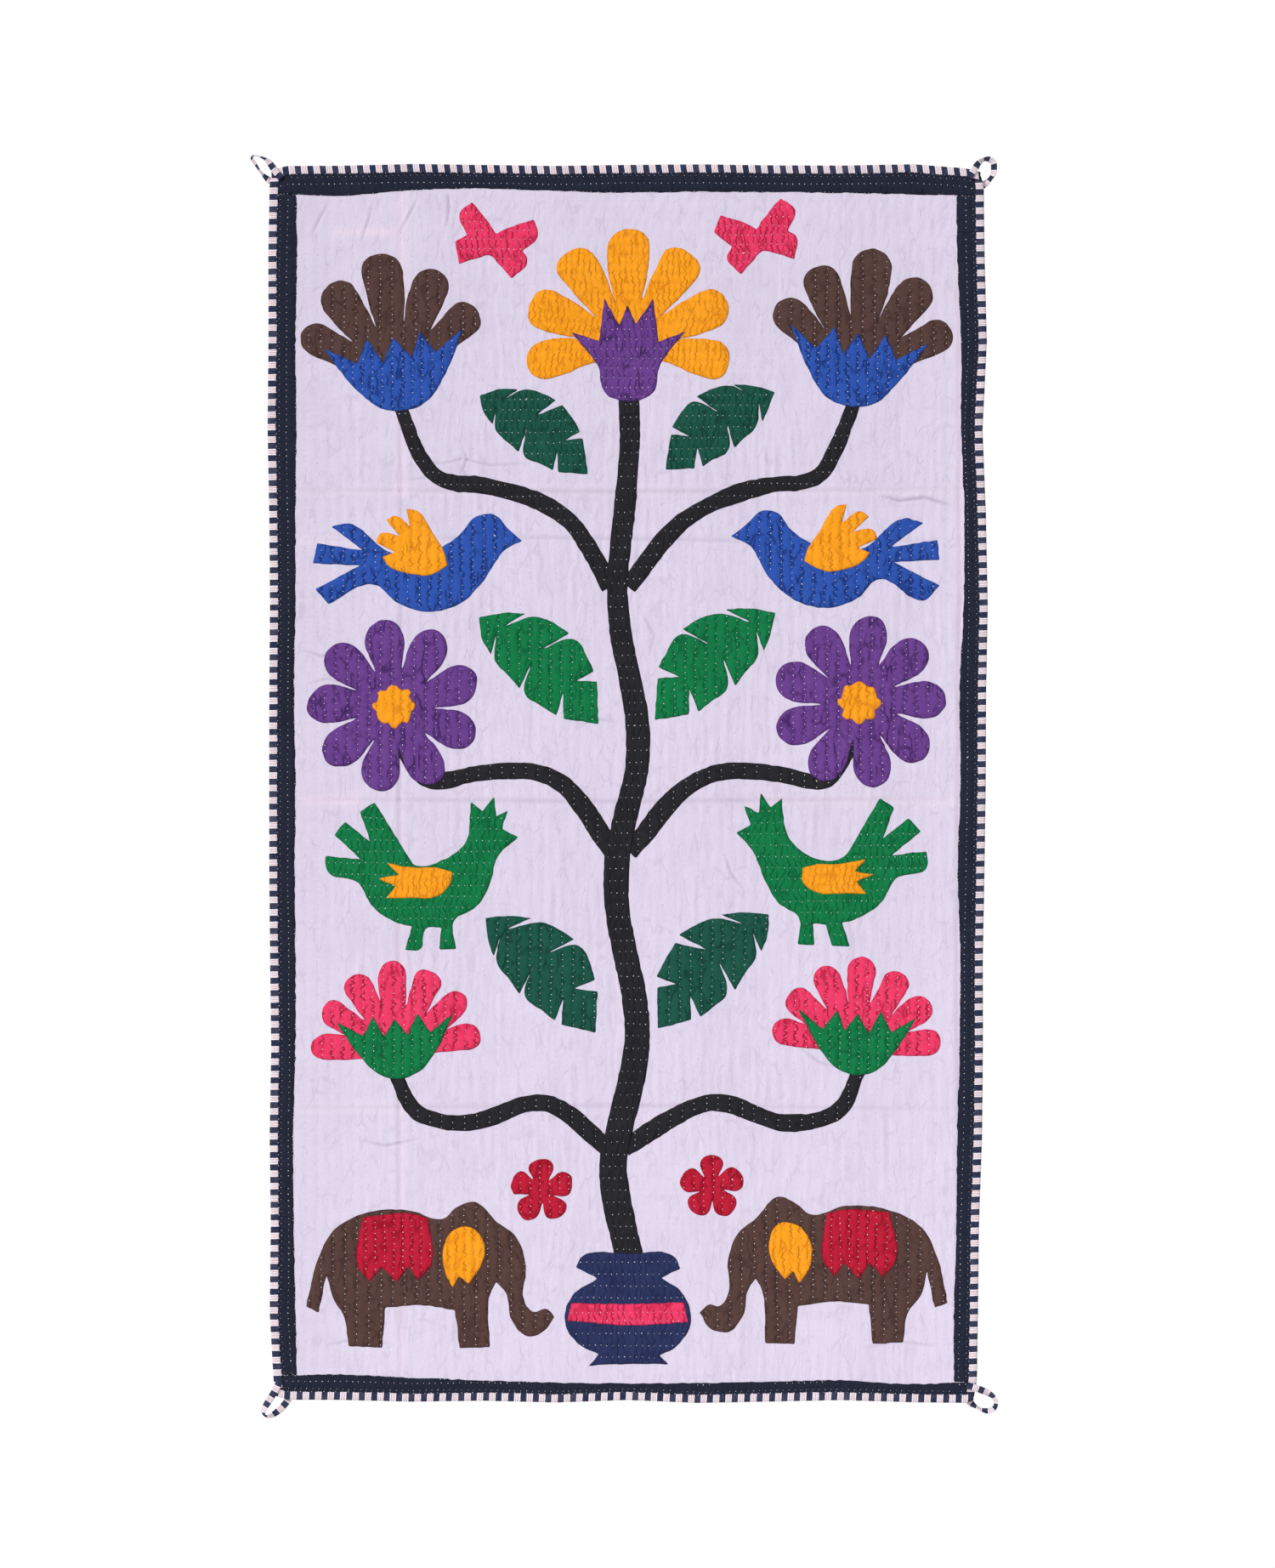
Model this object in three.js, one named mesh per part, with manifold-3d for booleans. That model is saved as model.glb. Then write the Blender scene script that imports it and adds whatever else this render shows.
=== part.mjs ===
// A hand-quilted cotton wall hanging with sewn-on cloth motifs, in millimetres.
// X runs across, Z up and -Y towards the viewer. The origin is the middle of the top edge, at the back face.
import * as THREE from 'three';
import { mergeVertices } from 'three/addons/utils/BufferGeometryUtils.js';
import Module from 'manifold-3d';

const wasm = await Module();
wasm.setup();

// Driving sizes
const WIDTH = 890;
const HEIGHT = 1540;
const QUILT_THICKNESS = 2;
const PATCH_THICKNESS = 0.5;
const BINDING_THICKNESS = 0.6;
const BINDING_WIDTH = 10;
const SEAM_GAP = 0.3;
const TAPE = { width: 8.5, thickness: 1.1, gap: 0.7 };

// Rows of running stitch draw the quilt in; the cloth swells by `swell` between them.
const QUILTING = { rows: 60, swell: 0.6 };
const CORNER_COLUMNS = 3;
const FOLD_COLUMNS = 12;
const RIDGE_COLUMNS = QUILTING.rows * 2;

// Each row is one place across the width. `fold` is how far the cloth stands off its middle plane there,
// `top` and `bottom` raise the outer edge, and the bands are how deep the dark border reaches in.
const ACROSS = [
  { column: 0, fold: -1.2, top: -6, bottom: 9, topBand: 36, bottomBand: 32 },
  { column: CORNER_COLUMNS, fold: -0.6, top: -1, bottom: 2, topBand: 36, bottomBand: 32 },
  { column: FOLD_COLUMNS, fold: 1.4, top: -0.5, bottom: 1.5, topBand: 38, bottomBand: 33 },
  { column: 2 * FOLD_COLUMNS, fold: -0.6, top: 1.5, bottom: -0.5, topBand: 31, bottomBand: 29 },
  { column: 3 * FOLD_COLUMNS, fold: 1.2, top: 0.5, bottom: 0.5, topBand: 29, bottomBand: 26 },
  { column: 4 * FOLD_COLUMNS, fold: -1, top: -1, bottom: -1.5, topBand: 32, bottomBand: 23 },
  { column: 5 * FOLD_COLUMNS, fold: 0.8, top: 0.5, bottom: 1.5, topBand: 34, bottomBand: 22 },
  { column: 6 * FOLD_COLUMNS, fold: -1.2, top: 1, bottom: -2, topBand: 33, bottomBand: 23 },
  { column: 7 * FOLD_COLUMNS, fold: 1, top: 0, bottom: -0.5, topBand: 34, bottomBand: 24 },
  { column: 8 * FOLD_COLUMNS, fold: -0.6, top: -0.5, bottom: 1.5, topBand: 35, bottomBand: 26 },
  { column: 9 * FOLD_COLUMNS, fold: 1.6, top: 1.5, bottom: -1.5, topBand: 36, bottomBand: 21 },
  { column: RIDGE_COLUMNS - CORNER_COLUMNS, fold: -0.8, top: -4, bottom: -2, topBand: 38, bottomBand: 24 },
  { column: RIDGE_COLUMNS, fold: -1.4, top: -9.5, bottom: 5, topBand: 39, bottomBand: 25 },
];

// The same down the height: `left` and `right` shift the outer edges, positive to the right.
const FOLD_STEP = HEIGHT / 14;
const CORNER_STEP = 26;
const DOWN = [
  { z: 0, fold: 0, left: 3, right: -6, leftBand: 33, rightBand: 34 },
  { z: -CORNER_STEP, fold: -0.5, left: 0, right: 0, leftBand: 33, rightBand: 34 },
  { z: -FOLD_STEP, fold: -1.6, left: -1.5, right: 1, leftBand: 34, rightBand: 33 },
  { z: -2 * FOLD_STEP, fold: 1, left: -1.5, right: 4, leftBand: 32, rightBand: 28 },
  { z: -3 * FOLD_STEP, fold: -0.8, left: -2.5, right: -1.5, leftBand: 33, rightBand: 28 },
  { z: -4 * FOLD_STEP, fold: 1.5, left: -0.5, right: 3, leftBand: 32, rightBand: 24 },
  { z: -5 * FOLD_STEP, fold: -0.5, left: 0.5, right: 5, leftBand: 32, rightBand: 25 },
  { z: -6 * FOLD_STEP, fold: 1, left: -0.5, right: 3, leftBand: 30, rightBand: 30 },
  { z: -7 * FOLD_STEP, fold: -1.5, left: -0.5, right: 2.5, leftBand: 32, rightBand: 29 },
  { z: -8 * FOLD_STEP, fold: 0.5, left: -0.5, right: 1, leftBand: 31, rightBand: 32 },
  { z: -9 * FOLD_STEP, fold: 1.5, left: 0.5, right: -1, leftBand: 32, rightBand: 29 },
  { z: -10 * FOLD_STEP, fold: -1, left: 2, right: -1, leftBand: 32, rightBand: 30 },
  { z: -11 * FOLD_STEP, fold: 0.8, left: 0, right: -2, leftBand: 29, rightBand: 33 },
  { z: -12 * FOLD_STEP, fold: -0.8, left: 1.5, right: -6, leftBand: 30, rightBand: 34 },
  { z: -13 * FOLD_STEP, fold: 1.6, left: 0, right: -7, leftBand: 32, rightBand: 37 },
  { z: CORNER_STEP - HEIGHT, fold: -1, left: 5, right: -8.5, leftBand: 34, rightBand: 37 },
  { z: -HEIGHT, fold: -1.8, left: 9, right: -13, leftBand: 34, rightBand: 37 },
];

// How far towards the viewer each layer's back lies from the quilt's back face
const QUILT_FRONT = QUILT_THICKNESS + QUILTING.swell;
const PATCH_STEP = PATCH_THICKNESS + SEAM_GAP;
const BINDING_FRONT = QUILT_FRONT + SEAM_GAP + PATCH_STEP;
const layerBack = (layer) => QUILT_FRONT + SEAM_GAP + (layer - 1) * PATCH_STEP;

const columnX = (column) => (column / RIDGE_COLUMNS - 0.5) * WIDTH;
for (const spot of ACROSS) spot.x = columnX(spot.column);

// Reads one named column of a table at a place between its rows, and runs straight on past its ends.
function lookUp(table, along, name, value) {
  const rising = table[table.length - 1][along] > table[0][along] ? 1 : -1;
  let next = table.findIndex((row) => (row[along] - value) * rising > 0);
  if (next < 0) next = table.length - 1;
  next = Math.max(next, 1);
  const from = table[next - 1];
  const to = table[next];
  const share = (value - from[along]) / (to[along] - from[along]);
  return from[name] + share * (to[name] - from[name]);
}

const across = (name, x) => lookUp(ACROSS, 'x', name, x);
const down = (name, z) => lookUp(DOWN, 'z', name, z);
const drape = (x, z) => across('fold', x) + down('fold', z);
const topZ = (x) => across('top', x);
const bottomZ = (x) => -HEIGHT + across('bottom', x);
const leftX = (z) => -WIDTH / 2 + down('left', z);
const rightX = (z) => WIDTH / 2 + down('right', z);

// A point of the cloth, `forward` in front of its back face
const onCloth = (x, z, forward) => [x, drape(x, z) - forward, z];

// A closed geometry from points and triangles, turned so that its faces point out
function closedGeometry(points, triangles) {
  const corner = (index) => new THREE.Vector3(...points[index]);
  const volume = triangles.reduce((sum, [a, b, c]) => sum + corner(a).dot(corner(b).cross(corner(c))), 0);
  const facing = volume > 0 ? triangles : triangles.map(([a, b, c]) => [a, c, b]);
  const geometry = new THREE.BufferGeometry();
  geometry.setAttribute('position', new THREE.Float32BufferAttribute(points.flat(), 3));
  geometry.setIndex(facing.flat());
  return geometry;
}

const quad = (a, b, c, d) => [[a, b, c], [a, c, d]];

function toManifold(geometry) {
  const bare = geometry.clone();
  bare.deleteAttribute('normal');
  bare.deleteAttribute('uv');
  const merged = mergeVertices(bare, 1e-4);
  const vertProperties = new Float32Array(merged.attributes.position.array);
  const triVerts = new Uint32Array(merged.index.array);
  return new wasm.Manifold(new wasm.Mesh({ numProp: 3, vertProperties, triVerts }));
}

function fromManifold(solid) {
  const { vertProperties, triVerts } = solid.getMesh();
  const geometry = new THREE.BufferGeometry();
  geometry.setAttribute('position', new THREE.Float32BufferAttribute(Array.from(vertProperties), 3));
  geometry.setIndex(Array.from(triVerts));
  return geometry;
}

// The quilt: a fine front face with its stitched rows and swells, and a plain back face
function quiltedGround() {
  const inset = BINDING_THICKNESS + SEAM_GAP;
  const rows = DOWN.length;
  const keepIn = (value, low, high) => Math.min(Math.max(value, low), high);
  const insideZ = (x, z) => keepIn(z, bottomZ(x) + inset, topZ(x) - inset);
  const insideX = (x, z) => keepIn(x, leftX(z) + inset, rightX(z) - inset);
  const frontX = Array.from({ length: RIDGE_COLUMNS + 1 }, (_, column) => columnX(column));
  const backX = ACROSS.map((spot) => spot.x);
  const edged = (xs, index) => (index === 0 ? -WIDTH : index === xs.length - 1 ? WIDTH : xs[index]);
  const rowZ = (row) => (row === 0 ? HEIGHT : row === rows - 1 ? -2 * HEIGHT : DOWN[row].z);
  const points = [];
  const triangles = [];
  const addFace = (xs, forward) => {
    const start = points.length;
    for (let row = 0; row < rows; row += 1) {
      for (let column = 0; column < xs.length; column += 1) {
        const z = insideZ(xs[column], rowZ(row));
        const x = insideX(edged(xs, column), z);
        points.push(onCloth(x, z, forward(column)));
      }
    }
    for (let row = 0; row < rows - 1; row += 1) {
      for (let column = 0; column < xs.length - 1; column += 1) {
        const a = start + row * xs.length + column;
        triangles.push(...quad(a, a + xs.length, a + xs.length + 1, a + 1));
      }
    }
    return start;
  };
  addFace(frontX, (column) => QUILT_THICKNESS + (column % 2) * QUILTING.swell);
  const facing = triangles.length;
  const back = addFace(backX, () => 0);
  for (let index = facing; index < triangles.length; index += 1) triangles[index].reverse();
  // The rim joins the fine face to the plain one
  for (const row of [0, rows - 1]) {
    for (let spot = 0; spot < ACROSS.length - 1; spot += 1) {
      const near = back + row * backX.length + spot;
      const [from, to] = [ACROSS[spot].column, ACROSS[spot + 1].column];
      const middle = Math.floor((from + to) / 2);
      const rim = [];
      for (let column = from; column < to; column += 1) {
        const a = row * frontX.length + column;
        rim.push([a, a + 1, column < middle ? near : near + 1]);
      }
      rim.push([row * frontX.length + middle, near + 1, near]);
      triangles.push(...(row === 0 ? rim : rim.map(([a, b, c]) => [a, c, b])));
    }
  }
  for (const side of [0, 1]) {
    for (let row = 0; row < rows - 1; row += 1) {
      const a = row * frontX.length + side * (frontX.length - 1);
      const b = back + row * backX.length + side * (backX.length - 1);
      const rim = quad(a, b, b + backX.length, a + frontX.length);
      triangles.push(...(side === 0 ? rim : rim.map(([p, q, r]) => [p, r, q])));
    }
  }
  return closedGeometry(points, triangles);
}

// The thin sheet of space that one layer of sewn-on cloth fills, following the folds
const LAYER_MARGIN = 20;
const layerSheets = new Map();
function layerSheet(layer) {
  if (layerSheets.has(layer)) return layerSheets.get(layer);
  const xs = ACROSS.map((spot) => spot.x);
  const zs = DOWN.map((spot) => spot.z);
  xs[0] -= LAYER_MARGIN;
  xs[xs.length - 1] += LAYER_MARGIN;
  zs[0] += LAYER_MARGIN;
  zs[zs.length - 1] -= LAYER_MARGIN;
  const back = layerBack(layer);
  const points = [];
  for (const forward of [back, back + PATCH_THICKNESS]) {
    for (const z of zs) points.push(...xs.map((x) => onCloth(x, z, forward)));
  }
  const triangles = [];
  const front = xs.length * zs.length;
  for (let row = 0; row < zs.length - 1; row += 1) {
    for (let column = 0; column < xs.length - 1; column += 1) {
      const a = row * xs.length + column;
      const [b, c, d] = [a + 1, a + xs.length + 1, a + xs.length];
      triangles.push(...quad(a, b, c, d));
      triangles.push(...quad(front + a, front + d, front + c, front + b));
    }
  }
  const rim = [];
  for (let column = 0; column < xs.length; column += 1) rim.push(column);
  for (let row = 1; row < zs.length; row += 1) rim.push(row * xs.length + xs.length - 1);
  for (let column = xs.length - 2; column >= 0; column -= 1) rim.push((zs.length - 1) * xs.length + column);
  for (let row = zs.length - 2; row > 0; row -= 1) rim.push(row * xs.length);
  rim.forEach((a, index) => {
    const b = rim[(index + 1) % rim.length];
    triangles.push(...quad(a, front + a, front + b, b));
  });
  const sheet = toManifold(closedGeometry(points, triangles));
  layerSheets.set(layer, sheet);
  return sheet;
}

// A piece of cloth cut to an outline and laid on the quilt in its layer
function patch(outline, layer) {
  const reach = 40;
  const shape = new THREE.Shape(outline.map(([x, z]) => new THREE.Vector2(x, z)));
  const prism = new THREE.ExtrudeGeometry(shape, { depth: reach, bevelEnabled: false });
  prism.rotateX(Math.PI / 2);
  prism.translate(0, reach / 2, 0);
  return fromManifold(toManifold(prism).intersect(layerSheet(layer)));
}

// A strip whose section is carried through a row of stations, with capped ends
function loft(stations, caps) {
  const points = stations.flat();
  const size = stations[0].length;
  const triangles = [];
  for (let station = 0; station < stations.length - 1; station += 1) {
    for (let index = 0; index < size; index += 1) {
      const a = station * size + index;
      const b = station * size + ((index + 1) % size);
      triangles.push(...quad(a, b, b + size, a + size));
    }
  }
  const last = (stations.length - 1) * size;
  for (const [a, b, c, d] of caps) {
    triangles.push(...quad(d, c, b, a));
    triangles.push(...quad(last + a, last + b, last + c, last + d));
  }
  return closedGeometry(points, triangles);
}

// The binding's folded section as [distance in from the edge, distance forward of the quilt's back]
const backOut = -SEAM_GAP - BINDING_THICKNESS;
const frontOut = BINDING_FRONT + BINDING_THICKNESS;
const BINDING_SECTION = [
  [0, backOut], [BINDING_WIDTH, backOut], [BINDING_WIDTH, -SEAM_GAP], [BINDING_THICKNESS, -SEAM_GAP],
  [BINDING_THICKNESS, BINDING_FRONT], [BINDING_WIDTH, BINDING_FRONT], [BINDING_WIDTH, frontOut], [0, frontOut],
];
const BINDING_CAPS = [[0, 1, 2, 3], [0, 3, 4, 7], [4, 5, 6, 7]];

function binding(stationAt, places) {
  const section = (place) => BINDING_SECTION.map(([inward, forward]) => {
    const [x, z] = stationAt(place, inward);
    return onCloth(x, z, forward);
  });
  return loft(places.map(section), BINDING_CAPS);
}

// Where a line down the cloth meets a line across it, found by going from one to the other
function meeting(xAt, zAt, nearZ) {
  let [x, z] = [xAt(nearZ), nearZ];
  for (let pass = 0; pass < 4; pass += 1) {
    z = zAt(x);
    x = xAt(z);
  }
  return [x, z];
}

// Places along a piece, from its start past each fold to its end
const acrossPlaces = ['start', ...ACROSS.slice(1, -1).map((spot) => spot.x), 'end'];
const downPlaces = ['start', ...DOWN.slice(1, -1).map((spot) => spot.z), 'end'];

// Top and bottom bindings run the whole width, and the sides fit between them.
const BINDING_END = BINDING_WIDTH + SEAM_GAP;
function levelPoint(edgeZ, into, nearZ, sideInset, spot, inward) {
  const zAt = (x) => edgeZ(x) + into * inward;
  if (spot === 'start') return meeting((z) => leftX(z) + sideInset, zAt, nearZ);
  if (spot === 'end') return meeting((z) => rightX(z) - sideInset, zAt, nearZ);
  return [spot, zAt(spot)];
}

function sidePoint(edgeX, into, spot, inward) {
  const xAt = (z) => edgeX(z) + into * inward;
  if (spot === 'start') return meeting(xAt, (x) => topZ(x) - BINDING_END, 0);
  if (spot === 'end') return meeting(xAt, (x) => bottomZ(x) + BINDING_END, -HEIGHT);
  return [xAt(spot), spot];
}

// The dark border strips, sewn on in the first layer, with their hand-cut inner edges
const BAND_INSET = 1.6;
function bandAcross(edgeZ, bandName, into) {
  const nominal = into < 0 ? 0 : -HEIGHT;
  const innerZ = (x) => nominal + into * across(bandName, x);
  const outer = (spot) => levelPoint(edgeZ, into, nominal, BAND_INSET, spot, BAND_INSET);
  const inner = (spot) => levelPoint(innerZ, into, nominal, BAND_INSET, spot, 0);
  return [...acrossPlaces.map(outer), ...acrossPlaces.map(inner).reverse()];
}

function bandDown(edgeX, bandName, into) {
  const nominal = (-into * WIDTH) / 2;
  const start = (x) => -across('topBand', x) - SEAM_GAP;
  const end = (x) => -HEIGHT + across('bottomBand', x) + SEAM_GAP;
  const outerX = (z) => edgeX(z) + into * BAND_INSET;
  const innerX = (z) => nominal + into * down(bandName, z);
  const side = (xAt) => [
    meeting(xAt, start, 0), ...DOWN.slice(2, -2).map(({ z }) => [xAt(z), z]), meeting(xAt, end, -HEIGHT),
  ];
  return [...side(outerX), ...side(innerX).reverse()];
}

// Small shifts that keep hand-cut outlines from being exact
const CUT_SLIP = 1.1;
const slip = (seed, index) => CUT_SLIP * Math.sin(seed * 12.9 + index * 4.7 + Math.sin(index * 2.3 + seed));
const handCut = (outline, seed) => outline.map(([x, z], index) => [
  x + slip(seed, index),
  z + slip(seed + 5, index),
]);

// Puts a motif, drawn about its own middle, on the quilt. `turn` is anticlockwise in degrees, and `face` is -1
// for a motif that is turned over.
function place(outline, { x, z, turn = 0, scale = 1, face = 1 }) {
  const angle = THREE.MathUtils.degToRad(turn);
  const [cos, sin] = [Math.cos(angle), Math.sin(angle)];
  return outline.map(([u, v]) => {
    const [p, q] = [u * scale, v * scale];
    return [x + face * (p * cos - q * sin), z + p * sin + q * cos];
  });
}

const polar = (radius, degrees) => {
  const angle = THREE.MathUtils.degToRad(degrees);
  return [radius * Math.sin(angle), radius * Math.cos(angle)];
};

// A stem of cloth that follows a smooth curve and narrows from root to tip
function stem(route, rootWidth, tipWidth, steps) {
  const curve = new THREE.SplineCurve(route.map(([x, z]) => new THREE.Vector2(x, z)));
  const sides = [[], []];
  for (let step = 0; step <= steps; step += 1) {
    const share = step / steps;
    const middle = curve.getPoint(share);
    const along = curve.getTangent(share);
    const half = (rootWidth + (tipWidth - rootWidth) * share) / 2;
    sides[0].push([middle.x - along.y * half, middle.y + along.x * half]);
    sides[1].unshift([middle.x + along.y * half, middle.y - along.x * half]);
  }
  return [...sides[0], ...sides[1]];
}

// Petals that fan out from a root, parted by narrow slits, and `taper` shorter at the sides
function fan({ petals, spread, length, taper, root, bulge, foot }) {
  const outline = [];
  const step = spread / petals;
  for (let petal = 0; petal < petals; petal += 1) {
    const middle = -spread / 2 + (petal + 0.5) * step;
    const reach = length - (taper * Math.abs(middle)) / (spread / 2);
    const slit = petal === 0 ? foot : root;
    outline.push(polar(slit, middle - step / 2));
    outline.push(polar(reach * 0.72, middle - step * bulge));
    outline.push(polar(reach * 0.94, middle - step * bulge * 0.7));
    outline.push(polar(reach, middle));
    outline.push(polar(reach * 0.94, middle + step * bulge * 0.7));
    outline.push(polar(reach * 0.72, middle + step * bulge));
  }
  outline.push(polar(foot, spread / 2));
  return outline;
}

// A round flower with blunt petals
function rosette(petals, outer, inner) {
  const outline = [];
  const step = 360 / petals;
  for (let petal = 0; petal < petals; petal += 1) {
    const middle = petal * step;
    outline.push(polar(inner, middle - step * 0.5));
    outline.push(polar(outer * 0.86, middle - step * 0.36));
    outline.push(polar(outer, middle - step * 0.12));
    outline.push(polar(outer * 0.97, middle + step * 0.16));
    outline.push(polar(outer * 0.84, middle + step * 0.36));
  }
  return outline;
}

// A pointed leaf that bends, with slits cut in from both edges
function slitLeaf({ length, width, bend, slits }) {
  const half = (share) => (width / 2) * Math.sin(Math.PI * Math.min(share, 1)) ** 0.7;
  const at = (share, side, depth) => {
    const middle = bend * Math.sin(Math.PI * share);
    return [length * (share - 0.5), middle + side * half(share) * depth];
  };
  const edge = (side) => {
    const points = [];
    for (let slit = 0; slit < slits; slit += 1) {
      const share = (slit + 0.75) / (slits + 0.6);
      points.push(at(share - 0.1, side, 1), at(share, side, 1.04));
      points.push(at(share - 0.06, side, 0.25), at(share + 0.05, side, 1));
    }
    return points;
  };
  return [at(0, 1, 0), ...edge(1), at(1, 1, 0), ...edge(-1).reverse()];
}

const mirrored = (half) => [...half, ...half.filter(([x]) => x !== 0).map(([x, z]) => [-x, z]).reverse()];

// Outlines drawn by hand, each facing right or upright, in millimetres about its middle
const DOVE = [
  [106, 16], [90, 32], [76, 45], [58, 43], [44, 28], [20, 14], [-10, 8], [-34, 12],
  [-72, 44], [-92, 42], [-60, 14], [-108, 24], [-112, 4], [-64, 0], [-112, -22], [-98, -40],
  [-50, -20], [-28, -40], [4, -53], [38, -46], [62, -26], [76, -4], [86, 8],
];
const DOVE_WING = [
  [42, -8], [36, 16], [20, 44], [-2, 78], [-20, 84], [-14, 54], [-40, 74], [-54, 66], [-32, 40],
  [-62, 48], [-70, 34], [-40, 16], [-60, 10], [-50, -4], [-18, -18], [14, -22],
];
const HEN = [
  [100, 34], [84, 42], [90, 62], [76, 56], [74, 76], [62, 60], [50, 72], [48, 50], [44, 30],
  [22, 9], [-12, 5], [-36, 42], [-54, 70], [-70, 60], [-58, 28], [-86, 50], [-98, 36], [-68, 9],
  [-106, 14], [-104, -4], [-72, -16], [-56, -42], [-26, -60], [-14, -62], [-22, -88], [-4, -88],
  [2, -64], [18, -63], [16, -88], [34, -87], [32, -57], [54, -42], [70, -16], [78, 8], [86, 22],
];
const HEN_WING = [
  [40, -4], [22, 2], [-6, 4], [-40, 14], [-26, -2], [-52, -6], [-30, -16], [-44, -30],
  [-14, -32], [16, -34], [36, -22],
];
const ELEPHANT = [
  [98, 64], [124, 42], [136, 6], [134, -32], [146, -50], [160, -46], [172, -58], [156, -78],
  [136, -80], [118, -62], [110, -26], [100, -14], [92, -30], [90, -94], [54, -97], [48, -50],
  [6, -42], [-40, -46], [-44, -96], [-84, -94], [-90, -56], [-104, -34], [-112, -6], [-122, -52],
  [-138, -44], [-124, 14], [-104, 50], [-62, 72], [-10, 77], [32, 66], [50, 78], [74, 86],
];
const EAR = [[76, 58], [92, 34], [86, 6], [70, -18], [58, -6], [50, -22], [38, 0], [36, 30], [50, 54]];
const SADDLE = [
  [-66, 68], [-10, 73], [14, 66], [18, 8], [2, -12], [-10, 6], [-26, -14], [-42, 4], [-58, -12], [-74, 10],
];
const POT = mirrored([
  [0, 64], [54, 62], [62, 48], [38, 36], [66, 16], [76, -14], [60, -44], [36, -56], [48, -68], [0, -68],
]);
const POT_BAND = mirrored([[0, 4], [68, 6], [72, -16], [0, -20]]);
const CALYX = mirrored([[0, -36], [24, -30], [46, -6], [70, 36], [40, 16], [26, 40], [14, 14], [0, 36]]);
const HEART = mirrored([[0, -48], [26, -40], [34, -10], [62, 26], [32, 16], [26, 62], [9, 34], [0, 56]]);
const BUTTERFLY = mirrored([
  [0, 14], [12, 24], [40, 42], [52, 24], [36, 2], [46, -10], [34, -36], [14, -22], [0, -14],
]);

// The flowers and leaves that are worked out
const LOTUS = fan({ petals: 7, spread: 236, length: 142, taper: 16, root: 52, bulge: 0.42, foot: 50 });
const TULIP = fan({ petals: 5, spread: 138, length: 160, taper: 34, root: 72, bulge: 0.43, foot: 26 });
const CARNATION = fan({ petals: 7, spread: 186, length: 116, taper: 10, root: 60, bulge: 0.43, foot: 24 });
const DAISY = rosette(9, 108, 48);
const DAISY_EYE = rosette(8, 27, 23);
const STAR = rosette(5, 40, 15);
const LEAF = slitLeaf({ length: 200, width: 92, bend: 14, slits: 3 });

// The tree: a trunk that sways, and branches that leave it just clear of each other under its edges
const TRUNK_ROUTE = [
  { x: 4, z: -1366 }, { x: -16, z: -1240 }, { x: 14, z: -1080 }, { x: -14, z: -900 }, { x: 14, z: -720 },
  { x: -12, z: -540 }, { x: 2, z: -390 }, { x: 2, z: -270 },
];
const TRUNK = stem(TRUNK_ROUTE.map(({ x, z }) => [x, z]), 36, 24, 22);
const BRANCH = { start: 11, root: 23, tip: 18, steps: 12 };
const BRANCHES = {
  low: { from: -1226, route: [[100, -1168], [190, -1192], [260, -1182], [290, -1126]] },
  middle: { from: -856, route: [[84, -768], [176, -756], [248, -766], [290, -700]] },
  top: { from: -526, route: [[72, -442], [160, -402], [240, -386], [284, -296]] },
};
function branch(side, { from, route }) {
  const start = [lookUp(TRUNK_ROUTE, 'z', 'x', from) + side * BRANCH.start, from];
  return stem([start, ...route.map(([x, z]) => [side * x, z])], BRANCH.root, BRANCH.tip, BRANCH.steps);
}

// A motif that stands on both sides of the trunk; the second is turned over and set a little differently.
const pair = (name, colour, layer, outline, spot) => [
  { name: `${name}_left`, colour, layer, outline, spot },
  { name: `${name}_right`, colour, layer, outline, spot: { ...spot, x: -spot.x, z: spot.z + 5, face: -1 } },
];
const single = (name, colour, layer, outline, spot) => ({ name, colour, layer, outline, spot });
const HERE = { x: 0, z: 0 };

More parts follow.
